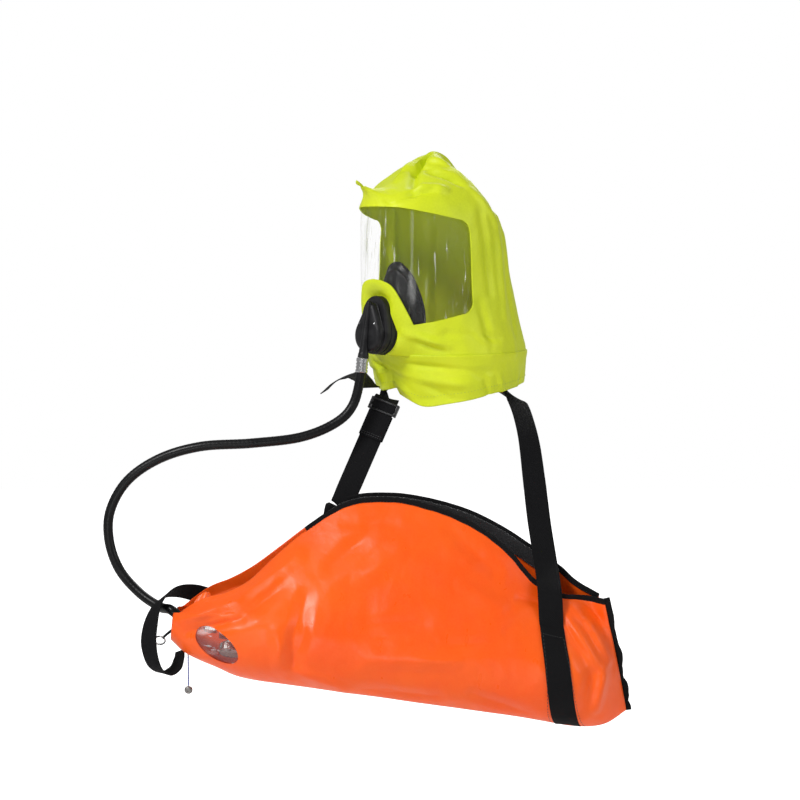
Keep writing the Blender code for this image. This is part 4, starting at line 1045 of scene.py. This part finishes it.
def make_neck_seal():
    """The elastic collar, gathered in small pleats towards the neck."""
    stations = (  # step, height, share of the way from the wall to the neck, inset from the wall
        (0, 26, 0, 3.4), (1, 23, 0.35, 3.4), (2, 17, 0.75, 3.2), (3, 10, 1.0, 0), (4, -2, 1.04, 0),
    )
    neck, columns = 60, 288

    def spot(i, k):
        height, share, inset = (read(stations, 4 * i / 32, column) for column in (1, 2, 3))
        turn = 2 * math.pi * k / columns
        angle = math.degrees(turn)
        wall = hood_wall(angle - 360 if angle > 180 else angle, height, inset)
        ring = Vector((neck * math.sin(turn), -neck * math.cos(turn), height))
        pleat = math.sin(48 * turn) * 1.5 * unit(share)
        outward = Vector((math.sin(turn), -math.cos(turn), 0.4))
        return hood_place(wall.lerp(ring, share) + outward * pleat * 0.7)

    bm = grid(rows_of(33, columns, spot), closed=True)
    seal = add_object("neck_seal_rubber", bm, SEAL_RUBBER, "hood", "neck_seal", sharp=60)
    thick(seal, 1.0, 0.0)


# ---------------------------------------------------------------- valve and mask


def valve_loft(name, node, steps, closed=False):
    """A shell through pear outlines: each step is (lower, upper, y, grow)."""
    rings = [[valve_place(p) for p in pear(*step)] for step in steps]
    add_object(name, loft(rings, closed=closed), BLACK_PLASTIC, "hood", node, sharp=28)


def make_valve():
    """The ribbed housing, its domed cover, the hose stem and two screws."""
    outer = (
        (21, -1), (20.4, -0.3), (19, 0), (13.2, 0), (12.8, -0.9), (11.4, -0.9), (11, 0), (6.2, 0),
        (5.8, -0.9), (4.4, -0.9), (4, 0), (-1.6, 0), (-2.6, -0.25), (-3.6, -0.9), (-4, -1.8),
    )
    inner = ((-2.6, -4), (11, -4), (11, -3.4), (21, -3.4))
    steps = [(HOUSING_LOWER, HOUSING_UPPER, y, g) for y, g in outer]
    steps += [(COVER_LOWER, COVER_UPPER, y, -2) for y in (-4.0, -2.6)]
    steps += [(HOUSING_LOWER, HOUSING_UPPER, y, g) for y, g in inner]
    valve_loft("valve_body_shell", "valve_housing", steps, closed=True)
    cover = (
        (-9.2, -3.2), (-4.4, -3.2), (-4.4, 1.2), (-4.7, 1.6), (-6.2, 1.7), (-6.6, 0.9), (-7.2, 0.9),
        (-7.6, 1.5), (-9, 1.3), (-10.6, 0.8), (-12, 0), (-13.2, -1.3), (-14, -3), (-14.4, -5.2),
        (-14.5, -7.4),
    )
    valve_loft("valve_front", "valve_cover", [(COVER_LOWER, COVER_UPPER, y, g) for y, g in cover])
    make_stem()
    for side, node in ((-1, "cover_screw_right"), (1, "cover_screw_left")):
        make_screw(side, node)


def make_stem():
    """The hose stem moulded down the middle of the cover, swelling towards the crimp."""
    path = []
    for k in range(61):
        height = STEM_TOP + (STEM_BOTTOM - STEM_TOP) * k / 60
        path.append(valve_place(Vector((0, -13 - 2.5 * k / 60, height))))

    def radius(share):
        blunt = math.sqrt(max(0.02, 1 - max(0.0, 1 - share / 0.05) ** 2))
        collar = 0.5 if share > 0.93 else 0.0
        return (3.5 + 2.9 * share**1.3) * blunt + collar

    rings = tube_rings(path, radius, 36)
    add_object("valve_stem", loft(rings), BLACK_PLASTIC, "hood", sharp=30)


def make_screw(side, node):
    """A domed cross-head screw."""
    profile = ((2.4, 0), (2.4, 0.7), (2.2, 1.2), (1.7, 1.6), (1.0, 1.8), (0.01, 1.85))
    place = standing(VALVE_MATRIX, (12 * side, -12.6, 0), FORWARD)
    screw = add_object("head_" + node, turned(profile, 28, place), STEEL, "hood", node)
    for long, wide in ((3.2, 0.6), (0.6, 3.2)):
        corners = [(-long, -wide), (long, -wide), (long, wide), (-long, wide)]
        cut(screw, [[place @ mm(x / 2, y / 2, z) for x, y in corners] for z in (1.1, 3)])


def make_mask():
    """The rubber cup over nose and mouth, with the creases of its folded cheeks."""
    stations = (  # step, reach back, centre, half width, rise, drop, narrowing
        (0, 15.2, -2, 14.6, 14.6, 14.6, 0), (1, 21.5, -2, 14.8, 14.8, 14.8, 0),
        (2, 26, 1, 20, 25, 21, 0.2), (3, 33, 6, 27, 43, 30, 0.34),
        (4, 41, 10, 34, 58, 39, 0.4), (5, 49, 12, 39, 66, 44, 0.42),
    )
    columns = 120

    def spot(i, k):
        step, turn = 5 * i / 50, 2 * math.pi * k / columns
        back, centre, wide, up, down, narrow = (read(stations, step, column) for column in range(1, 7))
        side, rise = math.sin(turn), math.cos(turn)
        if rise > 0:
            side, rise = math.copysign(abs(side) ** 0.8, side), rise**0.62
        pinch = 1 - narrow * max(0.0, rise) ** 1.5
        tall = up if rise > 0 else down
        lean = narrow * (0.3 + 0.44 * max(0.0, rise)) * rise * tall
        crease = (1 - 2 * abs(math.sin(math.pi * (0.9 * step + 0.35 * rise)))) * 2.6
        crease += (1 - 2 * abs(math.sin(4.5 * turn + 0.5 * step))) * 0.6
        crease *= unit(step - 1.6) * (1 - 0.5 * abs(rise))
        curl = 1 + (0.04 * max(0.0, step - 4.6) / 0.4)
        x, z = (wide * pinch + crease) * side * curl, centre + (tall + crease) * rise * curl
        return valve_place(Vector((x, back - lean, z)))

    rows = rows_of(51, columns, spot)
    bm = grid(rows, closed=True)
    mask = add_object("mask_cup", bm, MASK_RUBBER, "hood", "inner_mask", sharp=60)
    thick(mask, 1.9, 0.0)
    bead = loft(tube_rings(rows[-1] + rows[-1][:1], 1.5, 12), capped=False)
    add_object("mask_bead", bead, MASK_RUBBER, "hood")


# ---------------------------------------------------------------- bag


@functools.cache
def bag_section(u, side):
    """Points (u, v, n) of one panel at station u, from the bottom seam up to the mouth."""
    front = side > 0
    bottom = read(BAG_STATIONS, u, 1)
    top = read(BAG_STATIONS, u, 2 if front else 3)
    bulge = read(BAG_STATIONS, u, 4 if front else 5)
    mouth = read(BAG_STATIONS, u, 6 if front else 7)
    points = []
    for angle in SECTION_ANGLES:
        turn = math.radians(angle)
        points.append((abs(bottom) * math.sin(turn), bulge * math.cos(turn)))
    v0, n0 = points[-1]
    for share in SECTION_RISE:
        bow = math.sin(math.pi * share) * 0.06 * (n0 - mouth)
        points.append((v0 + (top - v0) * share, n0 + (mouth - n0) * share + bow))
    slant = max(0.0, (u - END_SLANT_FROM) / (BAG_END - END_SLANT_FROM)) * END_SLANT
    return [(k, u + slant * (60 - v), v, n) for k, (v, n) in enumerate(points)]


def bag_spot(u, share, side, lift=0.0):
    """A point (u, v, n) of a panel, folds and all, at a share of its way from bottom seam to mouth."""
    section = bag_section(u, side)
    place = share * (len(section) - 1)
    along, v, n = (read(section, place, column) for column in (1, 2, 3))
    free = min(1.0, share / 0.16) * unit((252 - u) / 14) * min(1.0, (u + 285) / 14)
    free *= 0.5 + 0.5 * min(1.0, (1 - share) / 0.1)
    spot = Vector((along, v))
    folds = FRONT_FOLDS if side > 0 else BACK_FOLDS
    place = (along + 0.35 * v, v - 0.25 * along, 40 * side)
    slack = ripple(place, 62) * 1.8 + crumple(place, 70, (0.7, 1.3, 1)) * 1.6 + crumple(place, 24) * 0.4
    if side < 0:
        slack *= 0.4
    push = (slack - folded(spot, folds) * 1.7) * free
    room = 4.5 + 0.15 * max(0.0, v - 50) + 0.2 * max(0.0, along - 200) + 0.1 * max(0.0, -150 - along)
    return Vector((along, v, n + side * (max(-room, push) + lift)))


def panel(side):
    """Rows of points over a whole panel, a little off the other one along the bottom seam."""
    columns, rows = 260, 96

    def place(i, j):
        spot = bag_spot(BAG_START + (BAG_END - BAG_START) * j / columns, i / rows, side)
        if i == 0:
            spot.z += 0.3 * side
        return bag_place(*spot)

    return rows_of(rows + 1, columns + 1, place)


def oval_block(long, short):
    """A cutter through the bag's front with the window's oval shape."""
    outline = []
    for turn in turns(56):
        along, across = long * math.cos(turn), short * math.sin(turn)
        u = WINDOW_CENTRE[0] + (along * math.cos(WINDOW_TILT) - across * math.sin(WINDOW_TILT))
        v = WINDOW_CENTRE[1] + along * math.sin(WINDOW_TILT) + across * math.cos(WINDOW_TILT)
        outline.append((u, v))
    return [[bag_place(u, v, n) for u, v in outline] for n in (WINDOW_BEHIND, WINDOW_FRONT)]


def make_bag():
    """The two panels, and the hole for the window in the front one."""
    bm = grid(panel(1))
    front = add_object("bag_front", bm, ORANGE, node="bag_front_panel", sharp=60)
    thick(front, CLOTH, 1.0)
    cut(front, oval_block(30, 17))
    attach(front, "harness")
    bm = grid([row[::-1] for row in panel(-1)])
    back = add_object("bag_back", bm, ORANGE, "harness", "bag_back_panel", sharp=60)
    thick(back, CLOTH, 1.0)


def make_bag_window():
    """Clear film behind the hole."""

    def spot(i, j):
        return bag_place(*bag_spot(WINDOW_CENTRE[0] - 40 + 2 * j, (i / 40) * 0.62 + 0.02, 1, -0.6))

    bm = grid(rows_of(41, 41, spot))
    film = add_object("window_sheet", bm, WINDOW_FILM, node="gauge_window", sharp=60)
    thick(film, 0.5, -1.0)
    cut(film, oval_block(36, 22), "INTERSECT")
    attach(film, "harness")


def mouth_edge(side, low, high, count):
    """The mouth's edge of a panel from one station to another."""
    return [bag_spot(low + (high - low) * k / (count - 1), 1.0, side) for k in range(count)]


def binding(name, node, path, width, thickness, across):
    """Tape folded round an edge: a plump ribbon that wanders a little."""
    fine = spaced(path, max(30, int(len(path) * 1.5)))
    sides = [across] * len(fine)

    def wave(share):
        return 0.25 * math.sin(share * 47) + 0.2 * math.sin(share * 113)

    ribbon(name, fine, sides, width, thickness, TAPE, "binding_tape", "harness", node, wave=wave)
    return fine


def make_bindings():
    """The tapes along both edges of the mouth, with their stitches, and down the right end."""
    for name, node, side, first, last in (
        ("front_mouth_tape", "mouth_binding_front", 1, -136, BAG_END),
        ("back_mouth_tape", "mouth_binding_back", -1, -91, 240),
    ):
        edge = mouth_edge(side, first, last, 120)
        path = [bag_place(p.x, p.y + 1.6, p.z + side * 0.6) for p in edge]
        fine = binding(name, node, path, 7.6, 3.4, BAG_UP)
        line = [p + FORWARD * 1.9 * MM - BAG_UP.normalized() * 2.0 * MM for p in fine]
        stitches(
            name + "_stitches", line, FORWARD, BLACK_THREAD, "harness",
            length=2.6, gap=1.4, radius=0.25,
        )
    section = [bag_spot(BAG_END, k / 24, 1) for k in range(25)]
    path = []
    for k, p in enumerate(section):
        sway = 2.2 * math.sin(k * 0.9) + 1.0 * math.sin(k * 2.1)
        path.append(bag_place(p.x + 3.4 + sway * math.sin(math.pi * k / 24), p.y, -3))
    top = section[-1]
    path.append(bag_place(top.x + 1, top.y + 6, -3))
    binding("end_tape", "end_binding", path, 8.4, 4.6, BAG_ALONG)


def make_fastener():
    """The hook-and-loop band along the mouth, inside the back panel."""

    def spot(i, j):
        u = -136 + 316 * j / 109
        top, low = bag_spot(u, 1.0, -1), bag_spot(u, 0.86, -1)
        drop = (low - top).normalized() * (19 * i / 8)
        fuzz = 0.25 * ripple((u, i * 3, 0), 5)
        return bag_place(top.x + drop.x, top.y + 0.8 + drop.y, top.z + drop.z + 2.6 + fuzz)

    bm = grid(rows_of(9, 110, spot)[::-1])
    band = add_object("mouth_band", bm, FUZZ, "harness", "mouth_fastener", sharp=60)
    thick(band, 1.5, 0.0)


def make_ear():
    """The flap of cloth that stands at the bag's left end, beside the hose."""

    def spot(i, j):
        share, side = i / 20, j / 16 * 2 - 1
        wide = 10 * math.sqrt(max(0.02, 1 - share**2.2))
        u = -248 + side * wide + 5 * share
        v = 25 + 15 * share - 3 * side**2 * (1 - share)
        n = 19 + 3 * math.cos(side * 1.5) * (1 - share) - 5 * share
        return bag_place(u, v, n + 1.2 * math.sin(4 * side + 2 * share))

    flap = add_object("end_flap", grid(rows_of(21, 17, spot)), ORANGE, "harness", sharp=60)
    thick(flap, CLOTH, 0.0)


# ---------------------------------------------------------------- cylinder group


def make_cylinder():
    """The steel cylinder, its neck to the left, and the two bands of webbing that hold it."""
    length, outer = 355, 52
    profile = [(0.01, 4), (outer * 0.45, 3), (outer * 0.7, 0)]
    for k in range(9):
        turn = math.pi / 2 * k / 8
        profile.append((outer * 0.7 + outer * 0.3 * math.sin(turn), 16 * (1 - math.cos(turn))))
    for k in range(15):
        turn = math.pi / 2 * k / 14
        profile.append((17 + (outer - 17) * math.cos(turn), length - 66 + 52 * math.sin(turn)))
    profile += [(17, length - 1), (16, length), (10, length), (10, length - 6), (0.01, length - 6)]
    place = standing(BAG_MATRIX, (205, 0, 0), (-1, 0, 0))
    bm = turned(profile, 72, place)
    add_object("cylinder_shell", bm, GREY_PAINT, "harness", "gas_cylinder")
    reach = outer + 0.5 + WEB / 2
    for node, u in (("cylinder_band_neck", -57.5), ("cylinder_band_base", 122.5)):
        centres = [bag_place(u, reach * math.cos(turn), reach * math.sin(turn)) for turn in turns(72)]
        ribbon(
            node + "_webbing", centres, [BAG_ALONG] * 72, 25, WEB, WEBBING, "webbing", "harness", node,
            closed=True,
        )


def make_gauge_face():
    """Graduations and a green arc on the gauge's dial."""
    out = Vector((0, -0.6, -0.8))
    centre = Vector((-206, 0, 0)) + out * 28
    place = standing(BAG_MATRIX, centre, out)
    bm = bmesh.new()
    for k in range(28):
        turn = math.radians(-135 + 10 * k)
        tall = 2.4 if k % 3 == 0 else 1.4
        middle = 11.4 - tall / 2
        spot = Matrix.Rotation(turn, 4, "Z") @ Matrix.Translation(mm(0, middle, 1.5))
        shape = Matrix.Diagonal((*mm(0.35, tall, 0.12), 1))
        bmesh.ops.create_cube(bm, size=1, matrix=place @ spot @ shape)
    add_object("dial_marks", bm, BLACK_PAINT, "harness")
    arc = []
    for k in range(31):
        turn = math.radians(20 + 3.4 * k)
        arc.append([place @ mm(r * math.sin(turn), r * math.cos(turn), 1.5) for r in (7.4, 8.8)])
    green = add_object("dial_arc", grid(arc), GREEN_PAINT, "harness")
    thick(green, 0.1, 0.0)


# ---------------------------------------------------------------- webbing


def strap_on_bag(lean, side, shares, lift):
    """Keys of the webbing that lies on one panel, along its leaning line."""
    keys = []
    for share in shares:
        u = STRAP_U + lean * share
        left, middle, right = (
            bag_place(*bag_spot(u + x, share, side, lift)) for x in (-WEB_WIDTH / 2, 0, WEB_WIDTH / 2)
        )
        keys.append((middle.lerp((left + right) / 2, 0.5), right - left))
    return keys


def make_straps():
    """The neck strap: under the bag and up its front, round the neck and down again, with its tail."""
    keys = strap_on_bag(LEAN_BACK, -1, (0.6, 0.5, 0.4, 0.3, 0.2, 0.1, 0.04), 5.0)
    keys += strap_on_bag(LEAN_FRONT, 1, [0.82 * k / 24 for k in range(25)], 3.4)
    free = (
        ((129, -190, -250), (1, 0.05, -0.14)), ((128, -165, -231), (1, 0.08, -0.14)),
        ((126, -139, -211), (1, 0.1, -0.14)), ((121, -116, -173), (1, 0.15, -0.14)),
        ((115.5, -104, -124), (1, 0.25, -0.16)), ((110, -88, -77), (1, 0.4, -0.2)),
        ((104, -64, -48), (1, 0.5, -0.2)), ((98, -41, -31), (1, 0.4, -0.25)),
        ((92, -25, -24), (0.8, 0.3, -0.5)), ((83, -4, -17), (0.45, 0.1, -0.88)),
        ((68, 30, -6), (0.1, 0.1, -0.98)), ((36, 66, -2), (0.05, 0.1, -0.98)),
        ((-2, 76, -2), (0, 0.12, -0.98)), ((-40, 63, -2), (-0.05, 0.1, -0.98)),
        ((-66, 30, -6), (-0.1, 0.1, -0.98)), ((-77, -8, -22), (-0.2, 0.0, -0.95)),
        ((-78, -28, -31), (-0.6, 0.0, -0.7)), ((-77, -51, -35), (-0.8, 0.15, -0.3)),
    )
    keys += [(mm(*p), Vector(a)) for p, a in free]
    down, side = strap_directions()
    keys += [(STRAP_TOP * MM + down * (far * MM), side) for far in (0, 40, 80, 120, 146)]
    keys += [(bag_place(-103, v, -63.2), BAG_ALONG) for v in (150, 110, 70, 35)]
    centres, across = carried(keys, 520)
    ribbon("neck_webbing", centres, across, WEB_WIDTH, WEB, WEBBING, "webbing", "harness", "neck_strap")
    tail = (
        ((-91, -44, -12), (0.1, -1, -0.3)), ((-101, -20, -4), (0.05, -1, -0.2)),
        ((-111, 3, 0), (0, -1, -0.15)), ((-123, 20, -3), (-0.1, -1, 0)),
        ((-139, 32, -12), (-0.1, -1, 0)), ((-152, 38, -24), (-0.1, -1, 0.05)),
    )
    centres, across = carried([(mm(*p), Vector(a)) for p, a in tail], 80)
    ribbon("webbing_end", centres, across, WEB_WIDTH, WEB, WEBBING, "webbing", "harness", "strap_tail")
    make_strap_sewing()
    make_adjuster(down, side)


def strap_directions():
    """Down the left strap, and across it."""
    down = (STRAP_FOOT - STRAP_TOP).normalized()
    return down, down.cross(Vector((0.35, 1, 0))).normalized() * -1


def make_strap_sewing():
    """The box of stitches that holds the right strap to the bag's front: two seams and two tacks."""

    def spot(share, x):
        return bag_place(*bag_spot(STRAP_U + LEAN_FRONT * share + x, share, 1, SEWING_LIFT))

    for name, x in (("strap_sewing_left", -SEWING_HALF), ("strap_sewing_right", SEWING_HALF)):
        path = [spot(SEWING_LOW + (SEWING_HIGH - SEWING_LOW) * k / 59, x) for k in range(60)]
        stitches(name, path, FORWARD, BLACK_THREAD, "harness")
    for name, share in (("strap_tack_low", SEWING_LOW), ("strap_tack_high", SEWING_HIGH)):
        path = [spot(share, -SEWING_HALF + 2 * SEWING_HALF * k / 11) for k in range(12)]
        stitches(name, path, FORWARD, BLACK_THREAD, "harness", length=2.2, gap=0.5)


def make_adjuster(down, side):
    """The moulded slider, the doubled webbing through it and its bar tack."""
    out = side.cross(down).normalized()
    place = STRAP_TOP * MM + down * SLIDER_AT * MM
    turn = Matrix((side, down, out)).transposed().to_4x4()
    bars = (  # middle and size, each across, down and out
        ((0, -6.7, 2.3), (38, 2.6, 2.0)), ((0, 6.7, 2.3), (38, 2.6, 2.0)), ((0, 0, -2.2), (35, 3.4, 1.8)),
        ((-17.6, 0, 0.1), (2.8, 15.8, 6.2)), ((17.6, 0, 0.1), (2.8, 15.8, 6.2)),
    )
    bm = bmesh.new()
    for (x, y, z), size in bars:
        centre = place + (side * x + down * y + out * z) * MM
        shape = Matrix.Translation(centre) @ turn @ Matrix.Diagonal((*mm(*size), 1))
        bmesh.ops.create_cube(bm, size=1, matrix=shape)
    slider = add_object("slider_frame", bm, SLIDER_PLASTIC, node="strap_slider")
    soften = slider.modifiers.new("Bevel", "BEVEL")
    soften.width = 0.6 * MM
    soften.segments = 3
    settle(slider)
    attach(slider, "strap_slider")
    keys = []
    for far, lift in ((9, 2.6), (14, 2.3), (24, 2.2), (36, 2.1), (42.5, 2.0)):
        keys.append((place + down * far * MM + out * lift * MM, side))
    back = [(p - out * 2 * (p - place).dot(out), a) for p, a in keys]
    for name, layer, node in (("fold_front", keys, "strap_fold"), ("fold_back", back, None)):
        ribbon(name, *carried(layer, 40), 32, 1.3, WEBBING, "webbing", "strap_slider", node)
    for far in (37.5, 40):
        path = [place + down * far * MM + side * x * MM + out * 2.85 * MM for x in range(-14, 15, 2)]
        stitches(f"fold_tack_{far:.0f}", path, out, BLACK_THREAD, "strap_slider", 2.2, 0.6)


def make_left_end():
    """Grab handle, and its ring with a tab."""
    route = (
        ((-268, -124.5, -276), (0.12, 0, 1)), ((-287, -131.5, -267), (0.1, -0.1, 1)),
        ((-306, -138, -259), (0.15, -0.35, 0.9)), ((-325, -148, -255), (0.3, -0.6, 0.7)),
        ((-338, -162, -257), (0.4, -0.75, 0.45)), ((-348, -178, -268), (0.6, -0.8, 0.25)),
        ((-354, -188, -289), (0.8, -0.6, 0.1)), ((-356, -191, -313), (0.85, -0.5, 0)),
        ((-350, -190, -338), (0.8, -0.6, 0)), ((-338, -183, -350), (0.7, -0.7, 0)),
        ((-327, -173, -346), (0.6, -0.8, 0)), ((-323, -165, -336), (0.45, -0.7, 0)),
        ((-322, -160, -327), (0.4, -0.7, 0)),
    )
    centres, across = carried([(mm(*p), Vector(a)) for p, a in route], 150)
    ribbon("handle_webbing", centres, across, 24, WEB, WEBBING, "webbing", "harness", "grab_handle")
    tab = ((-325, -171.6, -294.4), (-332, -173, -300), (-337, -174, -304), (-341, -174.5, -307.6))
    centres, across = carried([(mm(*p), Vector((0.1, -1, 0))) for p in tab], 18)
    ribbon("tab_webbing", centres, across, 14, WEB, WEBBING, "webbing", "harness", "ring_tab")
    ring = [mm(6.5 * math.cos(turn), 6.5 * math.sin(turn), 0) for turn in turns(48)]
    placed = Matrix.Translation(mm(-345, -174, -311)) @ Matrix.Rotation(math.radians(-60), 4, "X")
    bm = loft(tube_rings(ring + ring[:1], 1.1, 14), capped=False)
    bmesh.ops.remove_doubles(bm, verts=bm.verts, dist=0.0001)
    bm.transform(placed)
    add_object("handle_link", bm, STEEL, "harness", "handle_ring")


def make_seal():
    """Two strands twisted together, the eye that they hang from, and the lead disc at their end."""
    top, end = mm(*SEAL_TOP), mm(*SEAL_TOP) - mm(0, 0, SEAL_CORD)
    eye = []
    for turn in turns(32) + [2 * math.pi]:
        eye.append(top + mm(0.3 * math.sin(turn), 2.6 * math.sin(turn), 2.3 + 2.6 * math.cos(turn)))
    bm = loft(tube_rings(eye, 0.5, 10), capped=False)
    bmesh.ops.remove_doubles(bm, verts=bm.verts, dist=0.00005)
    add_object("seal_eye", bm, STEEL, "harness")
    path = [top.lerp(end, k / 90) for k in range(91)]
    rings = []
    for k, point in enumerate(path):
        twist = k * 0.42
        ring = []
        for turn in turns(16):
            size = 0.55 + 0.35 * abs(math.cos(turn - twist))
            ring.append(point + mm(size * math.cos(turn), size * math.sin(turn), 0))
        rings.append(ring)
    lead = add_object("seal_disc", lead_disc(), LEAD, "seal", "lead_seal")
    cord = add_object("seal_strands", loft(rings), BLUE_THREAD, "seal", "seal_cord")
    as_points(path[::3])


def lead_disc():
    """The pressed lead, a little uneven."""
    profile = (
        (0.01, 2.2), (1.5, 2.1), (1.9, 2.7), (2.6, 2.8), (4.2, 1.9), (4.9, 0.8), (5.0, 0), (4.9, -0.8),
        (4.2, -1.9), (2.6, -2.8), (1.9, -2.7), (1.5, -2.1), (0.01, -2.2),
    )
    foot = Vector(SEAL_TOP) - Vector((0, 0, SEAL_CORD + 5.4))
    bm = turned(profile, 40, standing(Matrix.Identity(4), foot, (0, -1, 0)))
    for vert in bm.verts:
        vert.co.z += 0.35 * MM * ripple(vert.co / MM, 3)
    return bm


# ---------------------------------------------------------------- the frame's own pieces, and the stage


def finish_frame_pieces():
    """Better materials for the hard pieces that show as the frame has them."""
    finishes = {
        STEEL: ("lever_pin", "demand_lever", "start_pin", "pin_ring"),
        BRASS: ("inlet_seat", "poppet", "relief_plug", "hose_tail"),
        PLATED: ("valve_body", "gauge_case", "hose_nut"),
        BLACK_PLASTIC: ("mask_clamp", "exhale_seat"),
        SILICONE: ("diaphragm", "exhale_disc"),
        RED_PLASTIC: ("port_cap",),
        DIAL_WHITE: ("gauge_dial",),
        BLACK_PAINT: ("gauge_needle",),
        LENS: ("gauge_lens",),
    }
    for paint, names in finishes.items():
        for name in names:
            node = NODES[name]
            node.data.materials.clear()
            node.data.materials.append(paint)


def make_floor():
    """A pale floor that melts into the white behind it."""
    made = Finish("floor", (0.93, 0.93, 0.93), 0.9)
    cloud = made.noise(2, 2)
    made.colour(made.mixed(cloud, (0.92, 0.92, 0.92), (0.94, 0.94, 0.94)))
    seen = made.node("ShaderNodeLightPath").outputs["Is Camera Ray"]
    made.shader.inputs["Emission Color"].default_value = (1, 1, 1, 1)
    made.drive("Emission Strength", made.maths("MULTIPLY", seen, 0.8))
    bm = bmesh.new()
    bmesh.ops.create_grid(bm, x_segments=4, y_segments=4, size=FLOOR_HALF)
    floor = meshed("floor", bm)
    floor.data.materials.append(made.material)
    floor.location = (0, 0, FLOOR_Z)


def make_studio():
    """White all round for the camera, dimmer for the light it casts, and four soft lamps."""
    world = bpy.data.worlds.new("studio")
    bpy.context.scene.world = world
    world.use_nodes = True
    tree = world.node_tree
    background = tree.nodes["Background"]
    seen = tree.nodes.new("ShaderNodeLightPath").outputs["Is Camera Ray"]
    level = tree.nodes.new("ShaderNodeMapRange")
    level.inputs["To Min"].default_value = AMBIENT
    tree.links.new(seen, level.inputs["Value"])
    tree.links.new(level.outputs["Result"], background.inputs["Strength"])
    background.inputs["Color"].default_value = (1, 1, 1, 1)
    for name, place, size, power in LAMPS:
        lamp = bpy.data.lights.new(name, "AREA")
        lamp.energy = power
        lamp.size = size
        obj = linked(name, lamp)
        obj.location = place
        obj.rotation_euler = (CAMERA_AIM - Vector(place)).to_track_quat("-Z", "Y").to_euler()
    bpy.context.scene.view_settings.view_transform = "Standard"


make_camera()
make_hose()
make_ferrules()
make_hood()
make_visor()
make_skirt()
make_neck_seal()
make_valve()
make_mask()
make_bag()
make_bag_window()
make_bindings()
make_fastener()
make_ear()
make_cylinder()
make_gauge_face()
make_straps()
make_left_end()
make_seal()
finish_frame_pieces()
make_floor()
make_studio()
